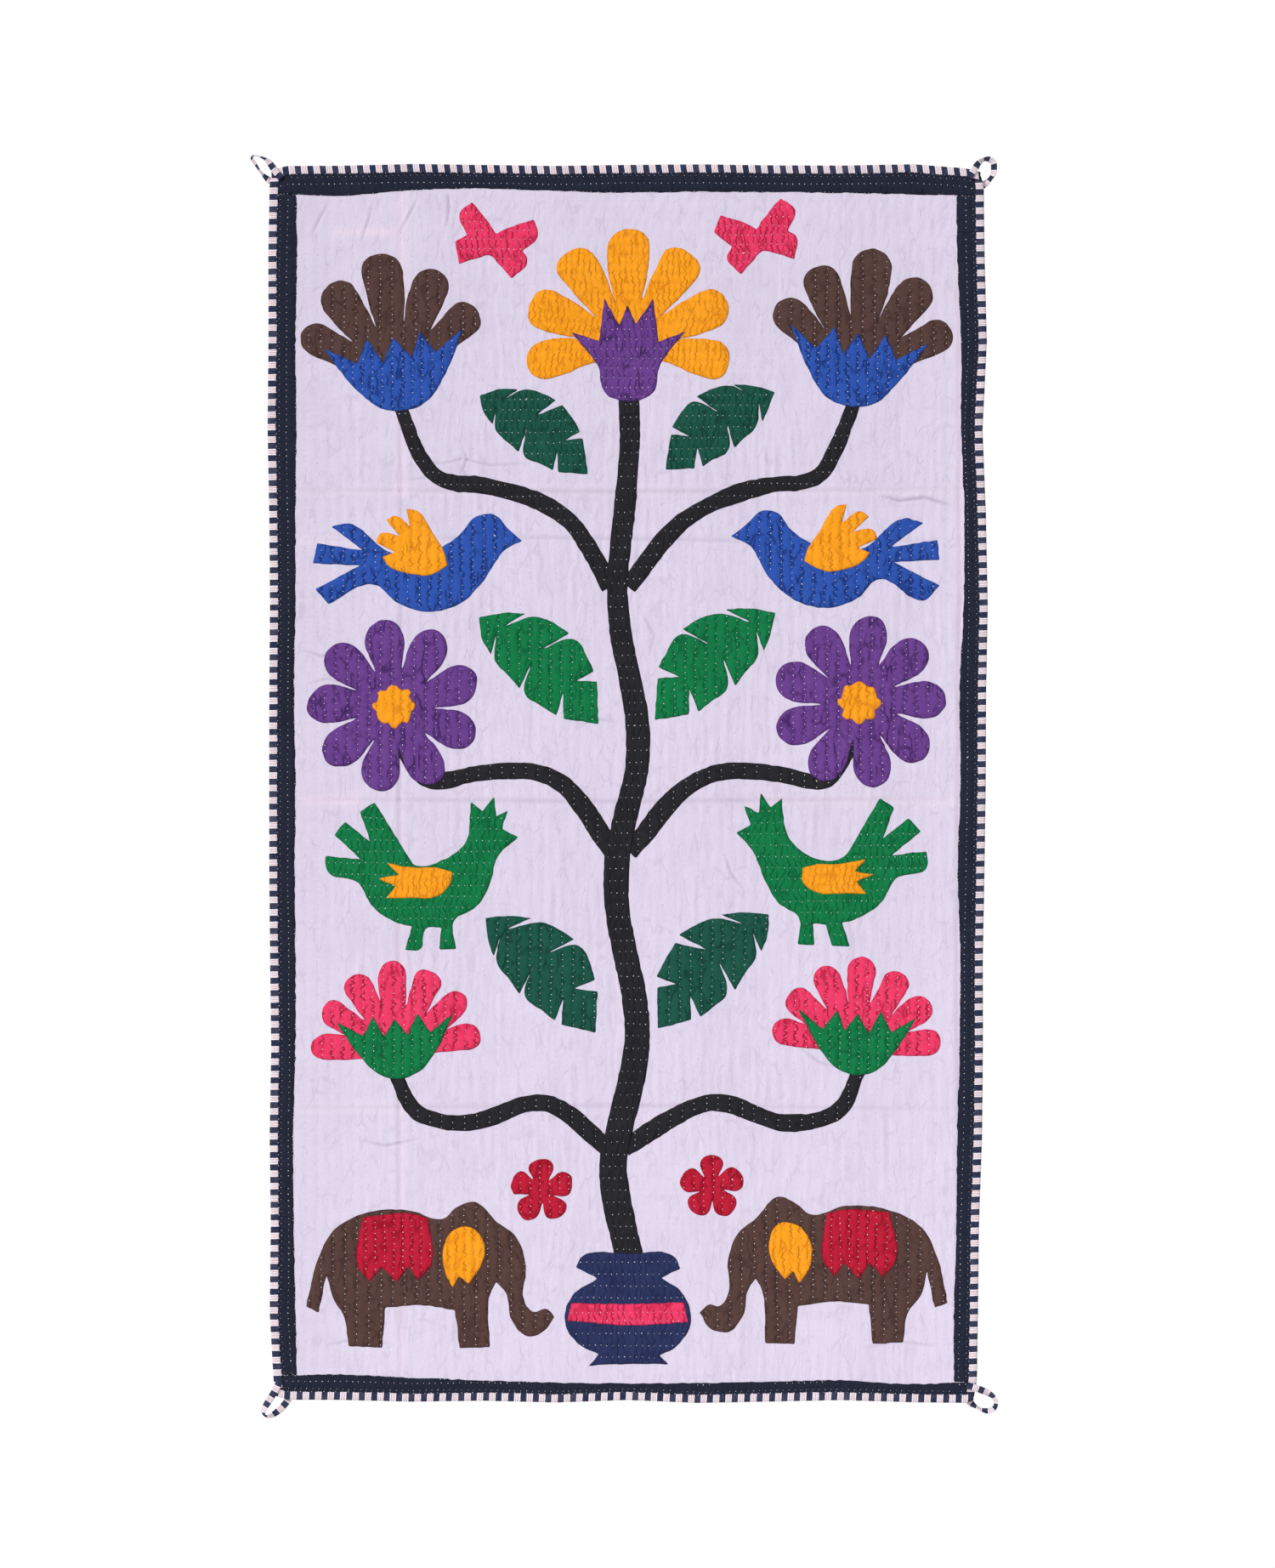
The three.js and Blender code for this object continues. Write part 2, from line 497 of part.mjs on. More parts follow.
const MOTIFS = [
  ...Object.entries(BRANCHES).flatMap(([name, shape]) => [
    single(`branch_${name}_left`, 'black', 1, branch(-1, shape), HERE),
    single(`branch_${name}_right`, 'black', 1, branch(1, shape), HERE),
  ]),
  single('trunk', 'black', 2, TRUNK, HERE),
  single('lotus', 'gold', 1, LOTUS, { x: 2, z: -222 }),
  single('lotus_heart', 'purple', 3, HEART, { x: 2, z: -238, scale: 1.15 }),
  ...pair('tulip', 'brown', 1, TULIP, { x: -286, z: -268, turn: 8 }),
  ...pair('tulip_calyx', 'royal_blue', 2, CALYX, { x: -284, z: -260, turn: 8, scale: 1.25 }),
  ...pair('dove', 'royal_blue', 1, DOVE, { x: -256, z: -494, turn: 3, scale: 1.2 }),
  ...pair('dove_wing', 'gold', 2, DOVE_WING, { x: -256, z: -494, turn: 2, scale: 0.8 }),
  ...pair('daisy', 'purple', 2, DAISY, { x: -290, z: -674, turn: 8 }),
  ...pair('daisy_eye', 'gold', 3, DAISY_EYE, { x: -290, z: -674 }),
  ...pair('hen', 'green', 1, HEN, { x: -252, z: -876, scale: 1.16 }),
  ...pair('hen_wing', 'gold', 2, HEN_WING, { x: -258, z: -880, turn: 4 }),
  ...pair('carnation', 'pink', 1, CARNATION, { x: -286, z: -1108, turn: 4 }),
  ...pair('carnation_calyx', 'green', 2, CALYX, { x: -286, z: -1100, turn: 4, scale: 1.05 }),
  ...pair('elephant', 'brown', 1, ELEPHANT, { x: -262, z: -1378 }),
  ...pair('saddle', 'red', 2, SADDLE, { x: -262, z: -1378 }),
  ...pair('ear', 'gold', 2, EAR, { x: -262, z: -1378, scale: 0.92 }),
  ...pair('star', 'red', 1, STAR, { x: -106, z: -1278 }),
  single('pot', 'navy', 3, POT, { x: 2, z: -1424, scale: 1.04 }),
  single('pot_band', 'pink', 4, POT_BAND, { x: 2, z: -1424, scale: 1.04 }),
  ...pair('leaf_top', 'dark_green', 1, LEAF, { x: -116, z: -336, turn: -36, scale: 0.84 }),
  ...pair('leaf_upper', 'green', 1, LEAF, { x: -110, z: -630, turn: -42 }),
  ...pair('leaf_lower', 'dark_green', 1, LEAF, { x: -108, z: -1010, turn: -46 }),
  ...pair('butterfly', 'pink', 1, BUTTERFLY, { x: -166, z: -98, turn: -16 }),
];

// Loops of the binding tape at the corners. `out` and `rise` lead away from the corner across and along,
// `forward` is measured from the quilt's back face, and `face` is how much of the tape's width is seen.
const FRONT_TAPE = frontOut + TAPE.gap + TAPE.thickness / 2;
const BACK_TAPE = backOut - TAPE.gap - TAPE.thickness / 2;
const MIDDLE_TAPE = (FRONT_TAPE + BACK_TAPE) / 2;
const LOOPS = {
  top_left: { side: -1, up: 1, route: [
    { out: -15, rise: -16, forward: FRONT_TAPE, face: 1 },
    { out: -9, rise: -10, forward: FRONT_TAPE, face: 1 },
    { out: -4, rise: -3, forward: FRONT_TAPE, face: 1 },
    { out: 1, rise: 4, forward: 4.2, face: 0.8 },
    { out: 6, rise: 8, forward: 2.4, face: 0.4 },
    { out: 13, rise: 11, forward: MIDDLE_TAPE, face: 0.25 },
    { out: 20, rise: 12, forward: MIDDLE_TAPE, face: 0.2 },
    { out: 22.5, rise: 9, forward: MIDDLE_TAPE, face: 0.3 },
    { out: 18, rise: 2, forward: MIDDLE_TAPE, face: 0.35 },
    { out: 13.5, rise: -5, forward: MIDDLE_TAPE, face: 0.2 },
    { out: 8, rise: -12, forward: 0, face: 0.4 },
    { out: 1, rise: -18, forward: BACK_TAPE, face: 1 },
    { out: -6, rise: -21, forward: BACK_TAPE, face: 1 },
  ] },
  top_right: { side: 1, up: 1, route: [
    { out: -18, rise: -16, forward: FRONT_TAPE, face: 1 },
    { out: -14, rise: -9, forward: FRONT_TAPE, face: 1 },
    { out: -9.5, rise: -2, forward: FRONT_TAPE, face: 1 },
    { out: -5, rise: 4, forward: 4.6, face: 0.7 },
    { out: 1, rise: 7.5, forward: MIDDLE_TAPE, face: 0.4 },
    { out: 7, rise: 7.5, forward: MIDDLE_TAPE, face: 0.75 },
    { out: 12, rise: 3.5, forward: MIDDLE_TAPE, face: 0.85 },
    { out: 13, rise: -3.5, forward: MIDDLE_TAPE, face: 0.85 },
    { out: 12, rise: -11, forward: MIDDLE_TAPE, face: 0.7 },
    { out: 8, rise: -17, forward: 0, face: 0.6 },
    { out: 3, rise: -22, forward: BACK_TAPE, face: 1 },
    { out: -3, rise: -26, forward: BACK_TAPE, face: 1 },
    { out: -8, rise: -28, forward: BACK_TAPE, face: 1 },
  ] },
  bottom_left: { side: -1, up: -1, route: [
    { out: -13, rise: -26, forward: FRONT_TAPE, face: 1 },
    { out: -9.5, rise: -18, forward: FRONT_TAPE, face: 1 },
    { out: -5, rise: -10, forward: FRONT_TAPE, face: 1 },
    { out: 0, rise: -2, forward: 4, face: 1 },
    { out: 5, rise: 6, forward: MIDDLE_TAPE, face: 0.95 },
    { out: 8, rise: 13, forward: MIDDLE_TAPE, face: 0.6 },
    { out: 5.5, rise: 18.5, forward: MIDDLE_TAPE, face: 0.35 },
    { out: -2, rise: 18, forward: MIDDLE_TAPE, face: 0.75 },
    { out: -11, rise: 12, forward: MIDDLE_TAPE, face: 1 },
    { out: -18, rise: 5, forward: -0.6, face: 1 },
    { out: -23, rise: -2, forward: BACK_TAPE, face: 1 },
    { out: -27, rise: -9, forward: BACK_TAPE, face: 1 },
  ] },
  bottom_right: { side: 1, up: -1, route: [
    { out: -21, rise: -20, forward: FRONT_TAPE, face: 1 },
    { out: -13, rise: -18, forward: FRONT_TAPE, face: 1 },
    { out: -4, rise: -14.5, forward: 4.6, face: 1 },
    { out: 5, rise: -10.5, forward: MIDDLE_TAPE, face: 0.95 },
    { out: 12.5, rise: -5, forward: MIDDLE_TAPE, face: 0.6 },
    { out: 15.5, rise: 3, forward: MIDDLE_TAPE, face: 0.45 },
    { out: 12, rise: 10, forward: MIDDLE_TAPE, face: 0.55 },
    { out: 4.5, rise: 12, forward: MIDDLE_TAPE, face: 0.7 },
    { out: -3, rise: 10.5, forward: MIDDLE_TAPE, face: 0.35 },
    { out: -9.5, rise: 7, forward: 0, face: 0.4 },
    { out: -16, rise: 2.5, forward: BACK_TAPE, face: 1 },
    { out: -22, rise: -3, forward: BACK_TAPE, face: 1 },
    { out: -26, rise: -9, forward: BACK_TAPE, face: 1 },
  ] },
};

// A loop of tape. Its flat width turns between facing the viewer and lying edge on.
function tapeLoop({ side, up, route }) {
  const cornerZ = up > 0 ? 0 : -HEIGHT;
  const spots = route.map(({ out, rise }) => new THREE.Vector2(side * (WIDTH / 2 + out), cornerZ + up * rise));
  const stations = route.map(({ forward, face }, index) => {
    const before = spots[Math.max(index - 1, 0)];
    const after = spots[Math.min(index + 1, spots.length - 1)];
    const along = after.clone().sub(before).normalize();
    const acrossTape = new THREE.Vector2(-along.y, along.x);
    const depth = Math.sqrt(1 - face * face);
    const halfWidth = TAPE.width / 2;
    const halfThick = TAPE.thickness / 2;
    return [[1, 1], [-1, 1], [-1, -1], [1, -1]].map(([wide, thick]) => {
      const flat = wide * halfWidth * face - thick * halfThick * depth;
      const deep = wide * halfWidth * depth + thick * halfThick * face;
      const spot = spots[index].clone().addScaledVector(acrossTape, flat);
      return onCloth(spot.x, spot.y, forward + deep);
    });
  });
  return loft(stations, [[0, 1, 2, 3]]);
}

// Dyed cotton cloths, named by colour
const CLOTHS = {
  lilac: '#ddd0e6', border_navy: '#272b3a', stripe: '#8a8598', black: '#2c2c31', royal_blue: '#2f52a6',
  green: '#17794a', dark_green: '#1f5647', purple: '#673f88', gold: '#f39c1f', pink: '#dc3a62',
  red: '#b5233a', brown: '#5a413c', navy: '#2b3565',
};

const hanging = new THREE.Group();
function add(name, geometry, colour) {
  geometry.computeVertexNormals();
  const material = new THREE.MeshStandardMaterial({ color: CLOTHS[colour], roughness: 0.95, metalness: 0 });
  const mesh = new THREE.Mesh(geometry, material);
  mesh.name = name;
  hanging.add(mesh);
}

add('quilted_ground', quiltedGround(), 'lilac');
add('border_top', patch(bandAcross(topZ, 'topBand', -1), 1), 'border_navy');
add('border_bottom', patch(bandAcross(bottomZ, 'bottomBand', 1), 1), 'border_navy');
add('border_left', patch(bandDown(leftX, 'leftBand', 1), 1), 'border_navy');
add('border_right', patch(bandDown(rightX, 'rightBand', -1), 1), 'border_navy');
add('binding_top', binding((...at) => levelPoint(topZ, -1, 0, 0, ...at), acrossPlaces), 'stripe');
add('binding_bottom', binding((...at) => levelPoint(bottomZ, 1, -HEIGHT, 0, ...at), acrossPlaces), 'stripe');
add('binding_left', binding((...at) => sidePoint(leftX, 1, ...at), downPlaces), 'stripe');
add('binding_right', binding((...at) => sidePoint(rightX, -1, ...at), downPlaces), 'stripe');
for (const [corner, loop] of Object.entries(LOOPS)) add(`loop_${corner}`, tapeLoop(loop), 'stripe');
MOTIFS.forEach(({ name, colour, layer, outline, spot }, index) => {
  add(name, patch(handCut(place(outline, spot), index + 1), layer), colour);
});

export default hanging;
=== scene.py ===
"""Textile wall hanging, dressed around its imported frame.

A quilted lilac cloth carries applied cotton patches and four navy strips. A striped tape is folded
over its edge and makes a loop at each corner. Sizes on the cloth are in millimetres: x across, z up
and "forward" towards the viewer from the quilt's back. Meshes are made in metres.
"""

import logging
import math
from dataclasses import dataclass, field
from enum import Enum
from typing import Callable

import bpy
import numpy as np
from bpy.types import ID, GeometryNodeTree, Material, Mesh, Node, NodeSocket, NodeTree, Object
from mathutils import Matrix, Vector
from mathutils.bvhtree import BVHTree
from mathutils.geometry import delaunay_2d_cdt

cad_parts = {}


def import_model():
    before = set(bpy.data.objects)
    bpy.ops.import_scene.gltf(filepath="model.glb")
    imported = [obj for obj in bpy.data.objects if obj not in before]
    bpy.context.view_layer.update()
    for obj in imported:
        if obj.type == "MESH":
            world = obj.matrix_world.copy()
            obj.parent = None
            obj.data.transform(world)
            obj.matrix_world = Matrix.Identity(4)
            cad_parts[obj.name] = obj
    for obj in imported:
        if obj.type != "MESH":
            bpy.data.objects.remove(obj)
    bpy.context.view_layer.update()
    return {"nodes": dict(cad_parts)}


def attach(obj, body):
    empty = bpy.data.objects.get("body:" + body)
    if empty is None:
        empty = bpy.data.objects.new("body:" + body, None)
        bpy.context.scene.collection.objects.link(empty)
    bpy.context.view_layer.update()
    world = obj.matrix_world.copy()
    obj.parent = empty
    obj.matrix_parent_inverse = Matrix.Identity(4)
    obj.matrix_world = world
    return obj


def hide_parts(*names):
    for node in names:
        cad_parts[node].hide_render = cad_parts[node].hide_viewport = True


log = logging.getLogger("wall_hanging")

MM = 0.001
WIDTH, HEIGHT = 890.0, 1540.0
ROW_SPACING = 14.83
STITCH_PITCH = 7.42
Array = np.ndarray
Solids = dict[str, Mesh]


def linear(code: str) -> tuple[float, float, float, float]:
    """Turns an sRGB hex colour, six digits after a hash sign, to linear red, green, blue and alpha."""
    parts = [int(code[i : i + 2], 16) / 255 for i in (1, 3, 5)]
    return (*[c / 12.92 if c <= 0.04045 else ((c + 0.055) / 1.055) ** 2.4 for c in parts], 1.0)


def eased(low: float, high: float, value: Array) -> Array:
    """Returns numbers that rise smoothly from 0 at the low value to 1 at the high one."""
    t = np.clip((value - low) / (high - low), 0, 1)
    return t * t * (3 - 2 * t)


def blurred(grid: Array, reach: float) -> Array:
    """Blurs a grid with a Gaussian.

    Args:
        grid: Numbers in rows and columns.
        reach: Standard deviation in cells.

    Returns:
        The blurred grid, of the same shape.
    """
    span = int(math.ceil(reach * 2.5))
    weights = np.exp(-0.5 * (np.arange(-span, span + 1) / reach) ** 2)
    weights /= weights.sum()
    for axis in (0, 1):
        pad = [(span, span) if a == axis else (0, 0) for a in (0, 1)]
        wide = np.pad(grid, pad, mode="edge")
        count = grid.shape[axis]
        grid = sum(w * np.take(wide, range(k, k + count), axis) for k, w in enumerate(weights))
    return grid


def put(tree: NodeTree, kind: str, inputs: dict | None = None, **settings) -> Node:
    """Adds a node with its settings and links.

    Args:
        tree: Node tree to add to.
        kind: Blender's name of the node type.
        inputs: Socket name or index to a value, or to the node or output socket that feeds it.
        **settings: Properties of the node.

    Returns:
        The new node.
    """
    node = tree.nodes.new(kind)
    for name, value in settings.items():
        setattr(node, name, value)
    for name, value in (inputs or {}).items():
        if isinstance(value, Node):
            value = value.outputs[0]
        if isinstance(value, NodeSocket):
            tree.links.new(value, node.inputs[name])
        else:
            node.inputs[name].default_value = value
    return node


def linked(name: str, data: ID) -> Object:
    """Makes an object and puts it in the scene.

    Args:
        name: Name of the object.
        data: Its mesh, camera or light.

    Returns:
        The new object.
    """
    made = bpy.data.objects.new(name, data)
    bpy.context.scene.collection.objects.link(made)
    return made


def mark(mesh: Mesh, label: str, values: Array) -> None:
    """Gives each point of a mesh a number, under a label that a tree can read."""
    attribute = mesh.attributes.new(label, "FLOAT", "POINT")
    attribute.data.foreach_set("value", values.astype(np.float32))


def looked_up(grid: Array, x: Array, z: Array, step: float, places: Array) -> Array:
    """Looks places up in an even grid, smoothly from cell to cell.

    Args:
        grid: Numbers in rows and columns.
        x: Where each column lies.
        z: Where each row lies.
        step: Step from one to the next.
        places: x and z of each place.

    Returns:
        The value at each place.
    """
    a = np.clip((places[:, 0] - x[0]) / step, 0, len(x) - 1.001)
    b = np.clip((places[:, 1] - z[0]) / step, 0, len(z) - 1.001)
    j, i = a.astype(int), b.astype(int)
    s, t = a - j, b - i
    low = grid[i, j] * (1 - s) + grid[i, j + 1] * s
    high = grid[i + 1, j] * (1 - s) + grid[i + 1, j + 1] * s
    return low * (1 - t) + high * t


class Unevenness:
    """Smooth seeded noise from -1 to 1 over a plane."""

    SIZE = 128

    def __init__(self, seed: int, cell: float, long: float | None = None, turn: float = 0.0) -> None:
        """Draws the noise's table.

        Args:
            seed: Fixes the pattern.
            cell: Size of a cell across, in millimetres.
            long: Size of a cell along, the same as across when left out.
            turn: Turn of the pattern in degrees.
        """
        self.table = np.random.default_rng(seed).uniform(-1, 1, (self.SIZE, self.SIZE))
        self.cell, self.long = cell, long or cell
        self.cos, self.sin = math.cos(math.radians(turn)), math.sin(math.radians(turn))

    def at(self, u: Array, v: Array) -> Array:
        """Looks the noise up.

        Args:
            u: Places across, in millimetres.
            v: Places along, in millimetres.

        Returns:
            The noise at each place.
        """
        a = (u * self.cos + v * self.sin) / self.cell
        b = (v * self.cos - u * self.sin) / self.long
        i, j = np.floor(a).astype(int), np.floor(b).astype(int)
        s, t = eased(0, 1, a - i), eased(0, 1, b - j)
        low, high, left, right = i % self.SIZE, (i + 1) % self.SIZE, j % self.SIZE, (j + 1) % self.SIZE
        near = self.table[low, left] * (1 - s) + self.table[high, left] * s
        far = self.table[low, right] * (1 - s) + self.table[high, right] * s
        return near * (1 - t) + far * t


class Outline:
    """A closed line on the cloth, anticlockwise seen from the front, in millimetres."""

    # Least sine of a turn that counts as a corner.
    STRAIGHT = 0.004

    def __init__(self, points: Array) -> None:
        """Keeps the points, turned anticlockwise.

        Args:
            points: x and z of each corner.
        """
        x, z = points[:, 0], points[:, 1]
        area = np.sum(x * np.roll(z, -1) - np.roll(x, -1) * z)
        self.points = points if area > 0 else points[::-1].copy()

    @classmethod
    def of_solid(cls, mesh: Mesh) -> "Outline":
        """Finds the edge of a solid's front face.

        Args:
            mesh: One of the frame's solids.

        Returns:
            The front-most closed edge, without points on straight stretches.
        """
        places: dict[tuple[float, float, float], int] = {}
        ids = [places.setdefault(tuple(round(c / MM, 3) for c in v.co), len(places)) for v in mesh.vertices]
        spots = np.array(list(places))
        following: dict[tuple[int, int], None] = {}
        for face in mesh.polygons:
            if face.normal.y < -0.5:
                corners = [ids[v] for v in face.vertices]
                following.update({(a, b): None for a, b in zip(corners, corners[1:] + corners[:1])})
        after = {a: b for a, b in following if (b, a) not in following}
        loops = []
        while after:
            start, spot = after.popitem()
            loop = [start]
            while spot != start:
                loop.append(spot)
                spot = after.pop(spot)
            loops.append(spots[loop])
        front = min(loops, key=lambda loop: loop[:, 1].mean())[:, [0, 2]]
        before, ahead = front - np.roll(front, 1, 0), np.roll(front, -1, 0) - front
        bend = np.abs(before[:, 0] * ahead[:, 1] - before[:, 1] * ahead[:, 0])
        lengths = np.linalg.norm(before, axis=1) * np.linalg.norm(ahead, axis=1)
        return cls(front[bend > cls.STRAIGHT * lengths])

    def resampled(self, step: float) -> "Outline":
        """Splits the line into short stretches, keeping its corners.

        Args:
            step: Longest stretch in millimetres.

        Returns:
            The finer outline.
        """
        made = []
        for a, b in zip(self.points, np.roll(self.points, -1, 0)):
            count = max(1, int(math.ceil(np.linalg.norm(b - a) / step)))
            made += [a + (b - a) * k / count for k in range(count)]
        return Outline(np.array(made))

    def softened(self, step: float, sharp: float = 72.0) -> "Outline":
        """Rounds the blunt corners with a smooth line through every point.

        Args:
            step: Longest stretch of the new line in millimetres.
            sharp: Least turn in degrees of a corner that stays sharp.

        Returns:
            The rounded outline.
        """
        points, made = self.points, []
        runs = np.roll(points, -1, 0) - points
        lengths = np.linalg.norm(runs, axis=1)
        heading = runs / lengths[:, None]
        before = np.roll(heading, 1, 0)
        blunt = np.einsum("ij,ij->i", heading, before) > math.cos(math.radians(sharp))
        mean = heading + before
        mean /= np.maximum(np.linalg.norm(mean, axis=1, keepdims=True), 1e-6)
        leaving = np.where(blunt[:, None], mean, heading)
        reaching = np.where(np.roll(blunt, -1)[:, None], np.roll(mean, -1, 0), heading)
        for a, b, out, into, length in zip(points, np.roll(points, -1, 0), leaving, reaching, lengths):
            t = np.linspace(0, 1, max(1, int(math.ceil(length / step))), endpoint=False)[:, None]
            made.append((2 * t**3 - 3 * t**2 + 1) * a + (t**3 - 2 * t**2 + t) * length * out
                        + (3 * t**2 - 2 * t**3) * b + (t**3 - t**2) * length * into)
        return Outline(np.vstack(made))

    def inward(self) -> Array:
        """Finds which way the inside lies.

        Returns:
            The unit direction into the shape at each point.
        """
        step = np.roll(self.points, -1, 0) - np.roll(self.points, 1, 0)
        step /= np.maximum(np.linalg.norm(step, axis=1, keepdims=True), 1e-6)
        return np.column_stack([-step[:, 1], step[:, 0]])

    def distance(self, places: Array) -> Array:
        """Measures how far places are from the line.

        Args:
            places: x and z of each place.

        Returns:
            The distance of each place in millimetres.
        """
        best = np.full(len(places), np.inf)
        for a, b in zip(self.points, np.roll(self.points, -1, 0)):
            run = b - a
            t = np.clip(((places - a) @ run) / max(run @ run, 1e-9), 0, 1)
            away = places - (a + t[:, None] * run)
            best = np.minimum(best, np.einsum("ij,ij->i", away, away))
        return np.sqrt(best)

    def contains(self, places: Array) -> Array:
        """Tells which places lie inside.

        Args:
            places: x and z of each place.

        Returns:
            True for each place inside the line.
        """
        inside = np.zeros(len(places), bool)
        x, z = places[:, 0], places[:, 1]
        for (ax, az), (bx, bz) in zip(self.points, np.roll(self.points, -1, 0)):
            if az != bz:
                inside ^= ((az > z) != (bz > z)) & (x < (bx - ax) * (z - az) / (bz - az) + ax)
        return inside

    def sides(self) -> dict[str, Array]:
        """Splits a four-cornered outline.

        Returns:
            The bottom and top sides from left to right, and the left and right sides from bottom to top.
        """
        low, high = self.points.min(0), self.points.max(0)
        wanted = [(low[0], low[1]), (high[0], low[1]), (high[0], high[1]), (low[0], high[1])]
        at = [int(np.argmin(np.linalg.norm(self.points - w, axis=1))) for w in wanted]
        runs = []
        for k in range(4):
            stop = at[(k + 1) % 4] + (len(self.points) if at[(k + 1) % 4] <= at[k] else 0)
            runs.append(self.points[[n % len(self.points) for n in range(at[k], stop + 1)]])
        return {"bottom": runs[0], "top": runs[2][::-1], "left": runs[3][::-1], "right": runs[1]}


def run_of(line: Array) -> Array:
    """Returns how far along an open line each of its points is."""
    return np.concatenate([[0], np.cumsum(np.linalg.norm(np.diff(line, axis=0), axis=1))])


def along(line: Array, shares: Array) -> Array:
    """Returns the places that lie at shares, from 0 to 1, of an open line's length."""
    run = run_of(line)
    return np.column_stack([np.interp(shares * run[-1], run, line[:, k]) for k in range(line.shape[1])])


def length_of(line: Array) -> float:
    """Returns the length of an open line."""
    return float(np.linalg.norm(np.diff(line, axis=0), axis=1).sum())


def spread(low: Array, high: Array, across: float, up: float) -> Array:
    """Spreads places evenly over a box, every other row half a step along.

    Args:
        low: Lowest x and z.
        high: Highest x and z.
        across: Step in x.
        up: Step in z.

    Returns:
        x and z of each place.
    """
    x, z = np.meshgrid(np.arange(low[0], high[0], across), np.arange(low[1], high[1], up))
    x[1::2] += across / 2
    return np.column_stack([x.ravel(), z.ravel()])


class Drape:
    """How far back the quilt's back face lies at each place, smoothed from the folds of the frame."""

    # Steps between the rays and in the finer grid, reach of the blur and margin at the edge.
    STEP, FINE, REACH, MARGIN = 10.0, 2.5, 15.0, 6.0

    def __init__(self, mesh: Mesh) -> None:
        """Casts rays at the quilt's back face and smooths what they find.

        Args:
            mesh: The frame's solid of the quilt.
        """
        tree = BVHTree.FromPolygons([v.co for v in mesh.vertices], [p.vertices for p in mesh.polygons])
        x = np.arange(self.MARGIN - WIDTH / 2, WIDTH / 2 - self.MARGIN + 1, self.STEP)
        z = np.arange(self.MARGIN - HEIGHT, 1 - self.MARGIN, self.STEP)
        back = np.zeros((len(z), len(x)))
        for i, up in enumerate(z):
            for j, across in enumerate(x):
                hit = tree.ray_cast(Vector((across * MM, 0.1, up * MM)), Vector((0, -1, 0)))[0]
                back[i, j] = hit.y / MM if hit else np.nan
        if np.isnan(back).any():
            back = np.where(np.isnan(back), np.nanmean(back), back)
        self.x, self.z = np.arange(x[0], x[-1], self.FINE), np.arange(z[0], z[-1], self.FINE)
        rows = np.array([np.interp(self.x, x, row) for row in back])
        fine = np.array([np.interp(self.z, z, column) for column in rows.T]).T
        self.grid = blurred(fine, self.REACH / self.FINE)

    def at(self, places: Array) -> Array:
        """Returns y of the back face in millimetres at each place."""
        return looked_up(self.grid, self.x, self.z, self.FINE, places)


class LayMap:
    """Height and owner of the top cloth everywhere, on a square grid."""

    STEP, MARGIN = 1.25, 20.0

    def __init__(self) -> None:
        """Makes an empty map a little larger than the hanging."""
        self.x = np.arange(-WIDTH / 2 - self.MARGIN, WIDTH / 2 + self.MARGIN, self.STEP)
        self.z = np.arange(-HEIGHT - self.MARGIN, self.MARGIN, self.STEP)
        self.height = np.zeros((len(self.z), len(self.x)))
        self.owner = np.zeros((len(self.z), len(self.x)), int)

    def cells(self, low: Array, high: Array) -> tuple[slice, slice, Array]:
        """Picks a window of cells.

        Args:
            low: Lowest x and z.
            high: Highest x and z.

        Returns:
            The window's rows and columns, and the places of its cells.
        """
        rows = slice(*np.searchsorted(self.z, [low[1], high[1]]))
        columns = slice(*np.searchsorted(self.x, [low[0], high[0]]))
        x, z = np.meshgrid(self.x[columns], self.z[rows])
        return rows, columns, np.column_stack([x.ravel(), z.ravel()])

    def sample(self, places: Array, grid: Array | None = None) -> Array:
        """Looks up the height at each place, or a value of another grid of the same size."""
        return looked_up(self.height if grid is None else grid, self.x, self.z, self.STEP, places)

    def owner_at(self, places: Array) -> Array:
        """Returns the owner's number at each place, 0 where no applied cloth lies."""
        j, i = (np.clip(np.rint((places[:, k] - line[0]) / self.STEP).astype(int), 0, len(line) - 1)
                for k, line in enumerate((self.x, self.z)))
        return self.owner[i, j]


class Way(Enum):
    """Which way the rows of stitches run, in degrees from level."""

    LEVEL = 0.0
    UPRIGHT = 90.0


@dataclass(frozen=True)
class Finish:
    """A finish of a piece, whose material is built once and then shared."""

    slot: str

    # What the material's name adds to the slot's.
    SUFFIX = "_cloth"

    def material(self) -> Material:
        """Builds the material, once.

        Returns:
            The material.
        """
        name = self.slot + self.SUFFIX
        if name in bpy.data.materials:
            return bpy.data.materials[name]
        made = bpy.data.materials.new(name)
        made.use_nodes = True
        made.node_tree.nodes.clear()
        put(made.node_tree, "ShaderNodeOutputMaterial", {"Surface": self.shader(made.node_tree)})
        return made

    def shader(self, tree: NodeTree) -> Node:
        """Draws the finish, which each kind does in its own way."""
        raise NotImplementedError


